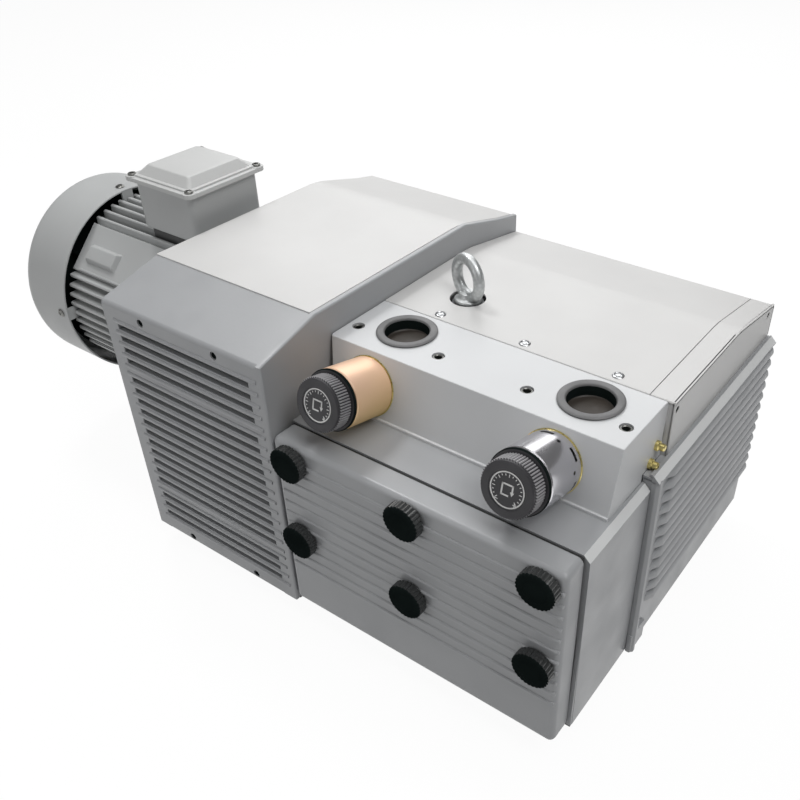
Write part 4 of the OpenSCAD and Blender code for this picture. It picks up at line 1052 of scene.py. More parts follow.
@dataclass
class ValveBlock:
    """The cast block with the two ports, the seats of the valves and its sunk screws."""

    start: float = -51.0
    end: float = 274.0
    lean: float = math.radians(14.0)
    lower: float = 258.0
    lip: float = 3.5
    front_top: float = -126.0
    bevel: float = 2.2
    ports: tuple[Flat, Flat] = ((9.0, -79.0), (217.0, -79.0))
    screws: tuple[float, ...] = (-39.0, 61.0, 161.0, 261.0)
    screw_y: float = -97.0
    valves: tuple[float, float] = (3.0, 211.0)
    valve_foot: Flat = (-134.98, 290.0)

    def axis_frame(self, side: int) -> Matrix:
        """Gives the frame of a valve: its foot is the origin and its axis is Z."""
        foot = Vector((self.valves[side], *self.valve_foot)) * MM
        return Matrix.Translation(foot) @ Matrix.Rotation(math.pi / 2 - self.lean, 4, "X")

    def casting(self) -> Piece:
        """Models the block."""
        top, slope = PLAN.block_top, math.tan(self.lean)
        foot = self.front_top - (top - self.lower) * slope
        back = PLAN.block_back
        outline = [(foot + self.lip * slope, self.lower + self.lip), (self.front_top, top), (back, top),
                   (back, 323.5), (-19.0, 323.5), (-19.0, 313.5), (back, 301.5), (back, 285.0), (-80.0, 285.0),
                   (-80.0, 265.0), (-108.0, 265.0), (-108.0, self.lower), (foot - 0.9, self.lower),
                   (foot - 0.9, self.lower + self.lip)]
        piece = Bench.prism("valve_block_casting", outline, Axis.X, self.start, self.end - self.start)
        wall = [(foot + 4, self.lower + 0.1), (self.front_top + 2, top - 3), (back, top - 3),
                (back, self.lower + 8), (-77.5, self.lower + 8), (-77.5, self.lower - 8),
                (-107.5, self.lower - 8), (-107.5, self.lower + 0.1)]
        Bench.fuse(piece, Bench.prism("end_wall", wall, Axis.X, self.end - 6.0, 6.0))
        corner = [(self.start - 1, foot - 8), (self.start + 16, foot - 8), (self.start - 1, foot + 22)]
        Bench.cut(piece, Bench.prism("corner", corner, Axis.Z, self.lower - 1, 80.0))
        Bench.round_off(piece, self.bevel, 3, 20.0, lambda a, b: max(a.y, b.y) < -30
                        and min(a.z, b.z) > self.lower + 3 and (a.z > 300 or b.z > 300 or a.y < -110))
        tools = []
        for side, (x, y) in enumerate(self.ports):
            tools.append(Bench.rod("mouth", Axis.Z, (x, y, top - 16), 24.6, 20.0, 96))
            tools.append(Bench.rod("thread", Axis.Z, (x, y, top - 34), 23.9, 30.0, 96))
            for radius, low, high in ((32.3, 0.0, 60.0), (18.0, -26.0, 10.0)):
                tool = Bench.rod("seat", Axis.Z, (0, 0, low), radius, high - low, 96)
                tools.append(Bench.place(tool, self.axis_frame(side)))
        for x in self.screws:
            tools.append(Bench.rod("sink", Axis.Z, (x, self.screw_y, top - 9), 6.5, 12.0, 48))
        Bench.cut(piece, *tools)
        return Bench.smooth(piece, 30.0)

    def plug(self) -> Piece:
        """Models the cap of the left port."""
        x, y = self.ports[0]
        top = PLAN.block_top
        profile = [(0.0, -21.5), (21.8, -21.5), (22.8, -20.5), (23.6, 0.0), (30.2, 0.0), (31.0, 0.8),
                   (31.0, 1.8), (30.0, 2.7), (28.6, 3.0), (24.4, 2.9), (23.2, 2.2), (22.4, 0.6), (21.8, -9.0),
                   (20.8, -10.0), (0.0, -10.0)]
        return Bench.smooth(Bench.lathe("port_cap_left", Axis.Z, (x, y, top), profile, 96), 35.0)

    def build(self) -> None:
        """Builds and dresses the block and its caps."""
        casting = dress(self.casting(), Finish.BLOCK_PAINT, CABINET, ["valve_block"])
        # Painted shade: the walls of the two ports get the near-black inner finish.
        line_inside(casting, Finish.INNER_CASTING, lambda c, n: c.z < PLAN.block_top - 0.5
                    and any(math.hypot(c.x - x, c.y - y) < 24.8 for x, y in self.ports))
        left = self.plug()
        right = Bench.copies(left, [(self.ports[1][0] - self.ports[0][0], 0.0, 0.0)])[0]
        right.name = "port_cap_right"
        floor = PLAN.block_top - 9.0
        for piece, word in ((left, "left"), (right, "right")):
            dress(piece, Finish.CAP_PLASTIC, f"port_plug_{word}_body", [f"port_plug_{word}"])
            # Painted shade: the cap's cup and the part below its flange get black; the cup's floor then gets
            # its own painted shade.
            line_inside(piece, Finish.BLACK_PLASTIC, lambda c, n: c.z < PLAN.block_top + 0.6)
            line_inside(piece, Finish.CAP_FLOOR, lambda c, n: abs(c.z - floor) < 1.6 and n.z > 0.5)


@dataclass
class RegulatingValve:
    """One regulating valve: foot ring, slotted sleeve, knurled knob and dial."""

    side: int
    block: ValveBlock
    sleeve_finish: Finish
    sleeve_r: float = 30.5
    wall: float = 3.5
    foot: float = 4.0
    length: float = 48.0
    knob_r: float = 27.0
    teeth: int = 60
    slots: tuple[float, ...] = (100.0, 160.0, 220.0, 280.0, 340.0, 40.0)
    holes: tuple[float, ...] = (72.0, 132.0, 192.0, 252.0, 312.0, 12.0)

    @property
    def word(self) -> str:
        """The side as a word."""
        return ("left", "right")[self.side]

    def at_axis(self, piece: Piece) -> Piece:
        """Moves a piece from the origin to the valve's axis."""
        return Bench.place(piece, self.block.axis_frame(self.side))

    def sleeve(self) -> Piece:
        """Models the sleeve with its slots and holes near the foot."""
        inner, top = self.sleeve_r - self.wall, self.foot + self.length
        profile = [(inner, self.foot), (inner, 1.6), (self.sleeve_r - 0.6, 1.6), (self.sleeve_r, 2.2),
                   (self.sleeve_r, top - 1.0), (self.sleeve_r - 1.0, top), (inner, top), (inner, self.foot)]
        piece = Bench.lathe(f"valve_sleeve_{self.word}", Axis.Z, (0, 0, 0), profile, 128)
        tools = []
        for turn in self.slots:
            slot = Bench.block("slot", (self.sleeve_r - 8, -6.5, self.foot + 2.5),
                               (self.sleeve_r + 4, 6.5, self.foot + 6))
            tools.append(Bench.place(slot, Matrix.Rotation(math.radians(turn), 4, "Z")))
        for turn in self.holes:
            hole = Bench.rod("hole", Axis.X, (self.sleeve_r - 8, 0, self.foot + 10), 1.9, 12.0, 16)
            tools.append(Bench.place(hole, Matrix.Rotation(math.radians(turn), 4, "Z")))
        return Bench.smooth(self.at_axis(Bench.cut(piece, *tools)), 30.0)

    def ring(self) -> Piece:
        """Models the ring at the foot of the sleeve and the seat under it."""
        profile = [(18.0, 0.0), (30.8, 0.0), (31.3, 0.4), (31.3, 0.9), (30.8, 1.3), (28.8, 1.3), (28.8, 4.0),
                   (18.0, 4.0), (18.0, 0.0)]
        seat = [(10.0, -26.0), (18.0, -26.0), (18.0, -18.0), (12.0, -18.0), (10.0, -20.0), (10.0, -26.0)]
        parts = [Bench.lathe("ring", Axis.Z, (0, 0, 0), shape, 96) for shape in (profile, seat)]
        return Bench.smooth(self.at_axis(Bench.join(f"valve_ring_{self.word}", parts)), 35.0)

    def knob(self) -> Piece:
        """Models the flanged knob with its fine knurl."""
        z0, z1 = 53.0, 56.5
        flange = [(8.05, z0), (29.4, z0), (self.sleeve_r, z0 + 0.8), (self.sleeve_r, z1 - 0.8),
                  (29.6, z1), (26.0, z1), (26.0, 72.6), (25.6, 73.8), (24.6, 74.5), (18.6, 74.5),
                  (18.0, 74.1), (18.0, 73.7), (0.0, 73.7), (0.0, 59.0), (8.05, 59.0), (8.05, z0)]
        body = Bench.lathe("knob", Axis.Z, (0, 0, 0), flange, 96)
        outline = []
        for i in range(self.teeth * 4):
            a, r = 2 * math.pi * i / (self.teeth * 4), self.knob_r - (0.0, 0.0, 1.3, 1.3)[i % 4]
            outline.append((r * math.cos(a), r * math.sin(a)))
        knurl = Bench.prism("knurl", outline, Axis.Z, z1 + 0.6, 15.4)
        Bench.round_off(knurl, 0.5, 1, 60.0, lambda a, b: abs(a.z - b.z) < 0.1)
        Bench.cut(knurl, Bench.rod("inside", Axis.Z, (0, 0, z1 - 1), 25.4, 20.0, 96))
        return Bench.smooth(self.at_axis(Bench.join(f"valve_knob_{self.word}", [body, knurl])), 30.0)

    def dial(self) -> Piece:
        """Models the black disc under the marks."""
        profile = [(0.0, 73.5), (17.4, 73.5), (17.4, 73.68), (0.0, 73.68)]
        disc = Bench.lathe(f"dial_disc_{self.word}", Axis.Z, (0, 0, 0), profile, 64)
        return Bench.smooth(self.at_axis(disc), 35.0)

    def marks(self) -> Piece:
        """Models the printed marks of the dial: a ring, a scale and a bent arrow."""
        low, high, inner, outer = 73.6, 73.84, 15.4, 16.6
        ring = [(inner, low), (outer, low), (outer, high), (inner, high), (inner, low)]
        parts = [Bench.lathe("ring", Axis.Z, (0, 0, 0), ring, 64)]
        for k in range(19):
            long = k % 3 == 0
            tick = Bench.block("tick", (11.6 if long else 12.8, -0.35, low), (14.4, 0.35, high))
            parts.append(Bench.place(tick, Matrix.Rotation(math.radians(-45 + 15 * k), 4, "Z")))
        bars = [((-5.8, 4.3), (5.8, 5.8)), ((-5.8, -5.8), (-4.3, 5.8)), ((-5.8, -5.8), (2.0, -4.3)),
                ((4.3, -1.0), (5.8, 5.8))]
        parts += [Bench.block("bar", (*a, low), (*b, high)) for a, b in bars]
        parts.append(Bench.prism("head", [(3.0, -0.6), (7.0, -0.6), (5.0, -4.4)], Axis.Z, low, high - low))
        parts.append(Bench.block("minus", (-10.5, -11.4, low), (-7.3, -10.7, high)))
        parts.append(Bench.block("plus", (7.3, -11.4, low), (10.5, -10.7, high)))
        parts.append(Bench.block("plus", (8.55, -12.65, low), (9.25, -9.45, high)))
        return Bench.smooth(self.at_axis(Bench.join(f"dial_marks_{self.word}", parts)), 35.0)

    def build(self) -> None:
        """Builds and dresses the valve's outer pieces."""
        dress(self.sleeve(), self.sleeve_finish, CABINET, [f"sleeve_{self.word}"])
        dress(self.ring(), Finish.BRASS, CABINET, ["sleeve_rings"])
        body = f"dial_knob_{self.word}_body"
        knob = dress(self.knob(), Finish.GREY_PLASTIC, body, [f"dial_knob_{self.word}"])
        inward = self.block.axis_frame(self.side).inverted()
        # Painted highlight: the outer faces of the knurl get the lighter grey.
        line_inside(knob, Finish.KNURL, lambda c, n: (inward @ (c * MM)).to_2d().length > 26.2 * MM
                    and (inward @ (c * MM)).z > 57 * MM and abs((inward.to_3x3() @ n).z) < 0.3)
        line_inside(knob, Finish.BLACK_PLASTIC, lambda c, n: (inward @ (c * MM)).z < 56.4 * MM)
        dress(self.dial(), Finish.BLACK_PLASTIC, body)
        dress(self.marks(), Finish.DIAL_PRINT, body)


@dataclass
class PumpCovers:
    """The sheet covers over the pump cylinder: top cover, end band and louvre panel."""

    top: float = 326.0
    bend: float = 114.0
    back_top: float = 308.0
    sheet: float = 2.5
    front: float = -40.0
    cover_end: float = 255.0
    band_end: float = 281.0
    eye: Flat = (18.0, 14.0)
    lip_z: float = 270.0
    band_screws: tuple[Flat, ...] = ((-34.0, 316.0), (204.0, 302.0))
    blades: int = 12
    pitch: float = 15.0
    panel_front: float = -78.0

    def folded(self, name: str, start: float, end: float, low: float) -> Piece:
        """Folds one cover sheet over the cylinder, without thickness."""
        path = [(self.front, self.top - 4), (self.front, self.top), (self.bend, self.top),
                (PLAN.back, self.back_top), (PLAN.back, low)]
        piece = Bench.sheet(name, path, Axis.X, start, end - start)
        Bench.round_off(piece, 5.0, 5, 40.0, lambda a, b: a.y > 200 and b.y > 200)
        Bench.round_off(piece, 10.0, 4, 5.0, lambda a, b: max(abs(a.y - self.bend), abs(b.y - self.bend)) < 1)
        Bench.round_off(piece, 1.6, 3, 60.0, lambda a, b: a.y < 0 and b.y < 0)
        return piece

    def top_cover(self) -> Piece:
        """Models the top cover with the round cut-out of the lifting eye."""
        piece = self.folded("pump_top_sheet", PLAN.seam + 1, self.cover_end, 225.0)
        Bench.apply(piece, "SOLIDIFY", thickness=self.sheet * MM, offset=-1.0, use_even_offset=True)
        Bench.close(piece)
        Bench.cut(piece, Bench.rod("eye_hole", Axis.Z, (*self.eye, 310.0), 19.5, 40.0, 96))
        Bench.round_off(piece, 0.6, 2, 60.0)
        return Bench.smooth(piece, 30.0)

    def end_band(self) -> Piece:
        """Models the end band with its side."""
        start, end = self.cover_end + 1, self.band_end
        top = self.folded("end_band_sheet", start, end, self.lip_z + 1)
        Bench.apply(top, "SOLIDIFY", thickness=self.sheet * MM, offset=-1.0, use_even_offset=True)
        Bench.close(top)
        skirt = self.lip_z - 7
        outline = [(self.front, skirt), (self.front, self.top), (self.bend, self.top),
                   (PLAN.back, self.back_top), (PLAN.back, skirt)]
        side = Bench.prism("side", outline, Axis.X, end - self.sheet, self.sheet)
        Bench.round_off(side, 1.4, 3, 60.0, lambda a, b: a.x > end - 0.1 and b.x > end - 0.1)
        for y, z in self.band_screws:
            Bench.cut(side, Bench.rod("recess", Axis.X, (end - 1.6, y, z), 3.6, 5.0, 32))
        Bench.round_off(top, 0.6, 2, 60.0)
        fold = Bench.block("fold", (start + 2, self.front, skirt),
                           (end - 1.4, self.front + self.sheet, self.top - 1.4))
        return Bench.smooth(Bench.join("end_band_sheet", [top, side, fold]), 30.0)

    def blade(self) -> Piece:
        """Models the uppermost louvre blade, which fades into the panel at the front."""
        x, z, y = PLAN.right + 2, self.lip_z - 12, self.panel_front + 38
        arc = [math.radians(90 - 12 * i) for i in range(9)]
        crown = [(x + 5.8 * math.cos(a), z - 8.6 + 8.6 * math.sin(a)) for a in arc]
        outline = [(x - 1, z), *crown, (x + 5.4, z - 9.8), (x + 4.4, z - 10.2), (x - 1, z - 9.6)]
        piece = Bench.prism("blade", outline, Axis.Y, y, PLAN.back - y)
        with Bench.editing(piece):
            Bench.mark(piece, lambda c, n: n.y < -0.9)
            bpy.ops.mesh.extrude_region_move(TRANSFORM_OT_translate={"value": (0.0, -13.0 * MM, 0.0)})
            bpy.ops.transform.resize(value=(0.02, 1.0, 0.7),
                                     center_override=((x - 1) * MM, 0.0, (z - 9.0) * MM))
        return Bench.close(piece)

    def panel(self) -> Piece:
        """Models the louvred side panel with its bevelled lip."""
        x0, x1, y0 = PLAN.right, PLAN.right + 8, self.panel_front
        low, top = PLAN.floor_top, self.lip_z
        sheet = Bench.block("louvre_panel_sheet", (x0, y0 + 4, low), (x0 + 2, PLAN.back, top - 4))
        lip = [(x0, top - 8), (x1 - 1.5, top - 8), (x1, top - 7.5), (x1, top - 6.8), (x1 - 6.8, top),
               (x0, top)]
        upper = Bench.prism("lip", lip, Axis.Y, y0, PLAN.back - y0)
        post = [(x0, y0), (x1 - 3.0, y0), (x1, y0 + 3.0), (x1, y0 + 6.5), (x1 - 1.5, y0 + 8), (x0, y0 + 8)]
        front = Bench.prism("post", post, Axis.Z, low, top - low - 6)
        for part in (upper, front):
            Bench.round_off(part, 0.8, 2, 20.0)
        foot = Bench.block("foot", (x0, y0 - 1, low), (x0 + 6, y0 + 30, low + 26))
        Bench.round_off(foot, 1.5, 2, 60.0)
        inner = Bench.block("inner_flange", (281.1, y0 + 2, top - 6), (x0 + 1, PLAN.back, top - 1))
        corner = Bench.block("corner_flange", (274.3, y0 + 1.5, top - 8),
                             (x0 + 1, PLAN.block_back + 1, top - 4.2))
        leg = Bench.block("corner_leg", (274.7, y0 + 1.5, top - 40), (x0 + 1, y0 + 4, top - 7))
        falls = [(0.0, 0.0, -i * self.pitch) for i in range(1, self.blades)]
        blades = Bench.row("blades", self.blade(), falls)
        panel = Bench.join("louvre_panel_sheet", [sheet, upper, front, foot, inner, corner, leg, blades])
        return Bench.smooth(panel, 32.0)

    def build(self) -> None:
        """Builds and dresses the covers."""
        dress(self.top_cover(), Finish.COVER_PAINT, CABINET, ["top_cover"])
        dress(self.end_band(), Finish.COVER_PAINT, CABINET, ["end_band"])
        panel = dress(self.panel(), Finish.CAST_PAINT, CABINET, ["louvre_panel"])
        # Painted highlight: the lip's chamfer gets the lighter grey.
        line_inside(panel, Finish.EDGE_PAINT, lambda c, n: n.x > 0.6 and n.z > 0.6 and c.z > self.lip_z - 8)


@dataclass
class LiftingEye:
    """The galvanised lifting eye."""

    place: Spot = (18.0, 14.0, 322.0)
    ring_z: float = 349.5
    ring_r: float = 21.0
    bar_r: float = 6.0
    turned: float = -22.0

    def build(self) -> None:
        """Builds and dresses the eye."""
        x, y, z = self.place
        collar = [(0.0, -24.0), (5.0, -24.0), (6.0, -23.0), (6.0, 0.0), (14.0, 0.0), (15.0, 1.0), (15.0, 3.6),
                  (13.6, 5.0), (10.8, 6.0), (9.4, 8.0), (8.6, 11.0), (0.0, 11.0)]
        piece = Bench.lathe("lifting_eye_bolt", Axis.Z, self.place, collar, 64)
        Bench.clear()
        bpy.ops.mesh.primitive_torus_add(major_radius=self.ring_r * MM, minor_radius=self.bar_r * MM,
                                         major_segments=64, minor_segments=24,
                                         location=(x * MM, y * MM, self.ring_z * MM),
                                         rotation=(math.pi / 2, 0.0, math.radians(self.turned)))
        Bench.fuse(piece, Bench.settle("ring"))
        Bench.round_off(piece, 1.4, 3, 50.0, lambda a, b: z + 4 < a.z < z + 14 and z + 4 < b.z < z + 14)
        dress(Bench.smooth(piece, 50.0), Finish.ZINC, CABINET, ["lifting_eye"])


@dataclass
class Motor:
    """The outside of the flange motor: fan cowl and terminal box."""

    cowl: Flat = (-587.0, -501.0)
    cowl_r: float = 128.0
    plate: float = 2.0
    rings: int = 5
    fan_blades: int = 7
    lid_x: Flat = (-412.0, -298.0)
    lid_y: Flat = (-77.0, 43.0)
    lid_z: float = 394.0
    taper: float = 0.77
    fin_pitch: float = 12.0
    fin_r: float = 117.3
    tube_r: float = 96.0
    fin_start: float = -504.0
    fin_end: float = -300.0
    ear: float = 8.0
    bolts_r: float = 106.0

    def axis_place(self, x: float = 0.0) -> Matrix:
        """Gives the move, in metres, to the point of the motor's axis at an X in millimetres."""
        return Matrix.Translation(Vector((x, PLAN.shaft_y, PLAN.shaft_z)) * MM)

    def ear_moves(self) -> list[Spot]:
        """Gives the moves from the lid's first ear to the other three."""
        wide, deep = (high - low - 2 * self.ear for low, high in (self.lid_x, self.lid_y))
        return [(wide, 0.0, 0.0), (0.0, deep, 0.0), (wide, deep, 0.0)]

    def turns(self, count: int) -> list[Matrix]:
        """Gives equal turns about the motor's axis.

        Args:
            count: Number of turns in a full circle.

        Returns:
            The turns as matrices in metres.
        """
        middle = self.axis_place()
        return [middle @ Matrix.Rotation(2 * math.pi * i / count, 4, "X") @ middle.inverted()
                for i in range(count)]

    def fan_cowl(self) -> Piece:
        """Models the cowl with its domed end and the grille in it."""
        x0, length, r, t = self.cowl[0], self.cowl[1] - self.cowl[0], self.cowl_r, self.plate
        profile = [(0.0, 0.0), (r - 14, 0.0), (r - 9, 0.9), (r - 5, 3.0), (r - 2, 6.6), (r - 0.5, 10.5),
                   (r, 15.0), (r, length - 0.6), (r - 0.6, length), (r - t, length), (r - t, 15.5),
                   (r - 3.4, 9.5), (r - 6.5, 5.2), (r - 11, 2.8), (r - 15, t), (0.0, t)]
        piece = Bench.lathe("motor_fan_cowl", Axis.X, (x0, PLAN.shaft_y, PLAN.shaft_z), profile, 128)
        tools = []
        for k in range(self.rings):
            inner, outer = 28 + 15 * k, 36 + 15 * k
            arc = [math.radians(24 * i / 8) for i in range(9)]
            edge = [(inner, a) for a in arc] + [(outer, a) for a in reversed(arc)]
            outline = [(PLAN.shaft_y + r * math.cos(a), PLAN.shaft_z + r * math.sin(a)) for r, a in edge]
            tools.append(Bench.prism("slit", outline, Axis.X, x0 - 1, t + 2))
        Bench.cut(piece, Bench.row("grille", Bench.join("grille", tools), self.turns(12)[1:]))
        strap = Bench.block("strap", (self.cowl[1] - 3, -8.0, 97.0),
                            (self.cowl[1], 8.0, self.cowl_r - t + 0.2))
        straps = Bench.row("straps", Bench.place(strap, self.axis_place()), self.turns(4)[1:])
        return Bench.smooth(Bench.join("motor_fan_cowl", [piece, straps]), 30.0)

    def terminal_box(self) -> Piece:
        """Models the open terminal box."""
        (x0, x1), (y0, y1) = self.lid_x, self.lid_y
        piece = Bench.block("terminal_box_casting", (x0 + 8, y0 + 8, 331), (x1 - 8, y1 - 8, 389))
        Bench.round_off(piece, 8.0, 5, 60.0, upright(20))
        Bench.round_off(piece, 2.5, 3, 60.0, lambda a, b: a.z < 332 and b.z < 332)
        inside = Bench.block("inside", (x0 + 12, y0 + 12, 335), (x1 - 12, y1 - 12, 392))
        Bench.round_off(inside, 5.0, 4, 60.0, upright(20))
        Bench.cut(piece, inside, Bench.rod("leads", Axis.Z, (-355, -17, 330), 20.0, 10.0, 64),
                  Bench.rod("entry", Axis.Y, (-355, 25, 360), 16.0, 14.0, 64))
        return Bench.smooth(piece, 30.0)

    def lid(self) -> Piece:
        """Models the lid with its corner ears and raised panel."""
        (x0, x1), (y0, y1) = self.lid_x, self.lid_y
        plate = Bench.block("terminal_lid_casting", (x0 + 1.5, y0 + 1.5, 389),
                            (x1 - 1.5, y1 - 1.5, self.lid_z))
        Bench.round_off(plate, 9.0, 6, 60.0, upright(2))
        Bench.round_off(plate, 1.2, 2, 60.0, above(self.lid_z - 0.5))
        step = Bench.block("step", (x0 + 7, y0 + 7, 392), (x1 - 7, y1 - 7, 396.2))
        rise = Bench.block("rise", (x0 + 10, y0 + 10, 395), (x1 - 10, y1 - 10, 406))
        for part in (step, rise):
            Bench.round_off(part, 6.0, 5, 60.0, upright(2))
        Bench.round_off(step, 1.2, 2, 60.0, above(396))
        middle = ((x0 + x1) / 2 * MM, (y0 + y1) / 2 * MM, 0.406)
        with Bench.editing(rise):
            Bench.mark(rise, lambda c, n: n.z > 0.9)
            bpy.ops.transform.resize(value=(self.taper, self.taper, 1.0), center_override=middle)
        Bench.round_off(rise, 1.6, 3, 25.0, above(405.5))
        ear = Bench.rod("ear", Axis.Z, (x0 + self.ear, y0 + self.ear, 389.2), self.ear, 5.6, 32)
        Bench.round_off(ear, 0.8, 2, 60.0)
        ears = Bench.row("ears", ear, self.ear_moves())
        Bench.fuse(plate, step, rise)
        return Bench.smooth(Bench.join("terminal_lid_casting", [plate, ears]), 35.0)

    def fan(self) -> Piece:
        """Models the fan wheel inside the cowl: hub, back disc, blades and inlet ring."""
        y, z = PLAN.shaft_y, PLAN.shaft_z
        hub = [(19.0, -538.0), (25.0, -538.0), (26.0, -537.0), (26.0, -505.0), (25.0, -504.0), (19.0, -504.0),
               (19.0, -538.0)]
        disc = [(25.0, -508.0), (91.0, -508.0), (92.0, -507.0), (92.0, -506.0), (91.0, -505.0),
                (25.0, -505.0), (25.0, -508.0)]
        inlet = [(58.0, -540.0), (112.0, -540.0), (112.6, -539.0), (112.0, -538.0), (58.0, -538.0),
                 (57.4, -539.0), (58.0, -540.0)]
        parts = [Bench.lathe("wheel", Axis.X, (0.0, y, z), shape, 96) for shape in (hub, disc, inlet)]
        blade = Bench.block("blade", (-538.5, y - 2, z + 24), (-507, y + 2, z + 102))
        Bench.round_off(blade, 1.2, 2, 60.0)
        blades = Bench.row("blades", blade, self.turns(self.fan_blades)[1:])
        return Bench.smooth(Bench.join("motor_fan_wheel", [*parts, blades]), 35.0)

    def pad(self) -> Piece:
        """Models the cast boss on the plain pad between the groups of fins."""
        boss = Bench.block("motor_pad_boss", (-487, -20, 108), (-428, 8, 118))
        with Bench.editing(boss):
            Bench.mark(boss, lambda c, n: n.z > 0.9)
            bpy.ops.transform.resize(value=(0.84, 0.62, 1.0), center_override=(-0.4575, -0.006, 0.118))
        Bench.round_off(boss, 1.6, 3, 30.0)
        rib = Bench.block("rib", (-489, -31, 109), (self.fin_end, -28, 113))
        Bench.round_off(rib, 1.2, 2, 30.0)
        plate = Bench.block("plate", (self.fin_start, -32.4, 98.0), (self.fin_end - 26.0, 32.4, 111.5))
        Bench.round_off(plate, 2.0, 3, 60.0, above(111))
        lay = self.axis_place() @ Matrix.Rotation(math.radians(45), 4, "X")
        plate = Bench.row("plate", Bench.place(plate, lay), self.turns(4)[1:])
        boss = Bench.place(Bench.join("motor_pad_boss", [boss, rib]), lay)
        return Bench.smooth(Bench.join("motor_pad_boss", [boss, plate]), 30.0)

    def fins(self) -> Piece:
        """Models the thick cast fins, which reach under the cowl."""
        y, z = PLAN.shaft_y, PLAN.shaft_z
        bars = []
        for k in range(-4, 5):
            d = self.fin_pitch * k
            low, high = math.sqrt(self.tube_r ** 2 - d * d), math.sqrt(self.fin_r ** 2 - d * d)
            half = [(3.2, low), (2.4, high - 1.2), (1.4, high)]
            outline = [(y + d - w, z + h) for w, h in half] + [(y + d + w, z + h) for w, h in reversed(half)]
            start = self.fin_start + (4.0 if k == 0 else 0.0)
            bars.append(Bench.prism("motor_fins", outline, Axis.X, start, self.fin_end - start))
        group = Bench.join("motor_fins", bars)
        return Bench.smooth(Bench.row("motor_fins", group, self.turns(4)[1:]), 30.0)

    def screws(self) -> Piece:
        """Models the screws of cowl, lid and flange."""
        x, y = self.lid_x[0] + self.ear, self.lid_y[0] + self.ear
        head = Bench.lathe("motor_screw_heads", Axis.Z, (x, y, self.lid_z), [
            (0.0, -1.0), (5.0, -1.0), (5.0, 2.4), (4.4, 3.0), (2.8, 3.2), (2.4, 1.4), (0.0, 1.4)], 32)
        lid = Bench.copies(head, self.ear_moves())
        washer = Bench.lathe("washer", Axis.Z, (0, 0, self.cowl_r), [
            (0.0, -3.0), (4.8, -3.0), (4.8, 0.4), (5.6, 0.4), (5.8, 0.9), (4.4, 1.6), (3.6, 2.4), (1.8, 2.4),
            (1.6, 1.4), (0.0, 1.4)], 32)
        rim = self.axis_place(self.cowl[1] - 13)
        cowl = Bench.copies(washer, [rim @ Matrix.Rotation(math.pi / 2 * i, 4, "X") for i in range(4)])
        bolt = Bench.lathe("bolt", Axis.X, (-306.0, 0, 0), [
            (0.0, 0.0), (7.2, 0.0), (8.0, 1.0), (8.0, 8.0), (0.0, 8.0)], 6)
        circle = [math.radians(45 + 90 * i) for i in range(4)]
        flange = Bench.copies(bolt, [(0.0, PLAN.shaft_y + self.bolts_r * math.cos(a),
                                      PLAN.shaft_z + self.bolts_r * math.sin(a)) for a in circle])
        for pattern in (washer, bolt):
            bpy.data.objects.remove(pattern)
        return Bench.smooth(Bench.join("motor_screw_heads", [head, *lid, *cowl, *flange]), 35.0)

    def build(self) -> None:
        """Builds and dresses the motor's outer pieces."""
        dress(self.fan_cowl(), Finish.MOTOR_PAINT, CABINET, ["fan_cowl"])
        dress(self.terminal_box(), Finish.MOTOR_PAINT, CABINET, ["terminal_box"])
        dress(self.lid(), Finish.LID_PAINT, CABINET, ["terminal_lid"])
        dress(self.fan(), Finish.BLACK_PLASTIC, "rotating_shaft", ["motor_fan"])
        dress(self.pad(), Finish.MOTOR_PAINT, CABINET)
        dress(self.fins(), Finish.MOTOR_PAINT, CABINET)
        dress(self.screws(), Finish.DULL_STEEL, CABINET, ["motor_screws"])


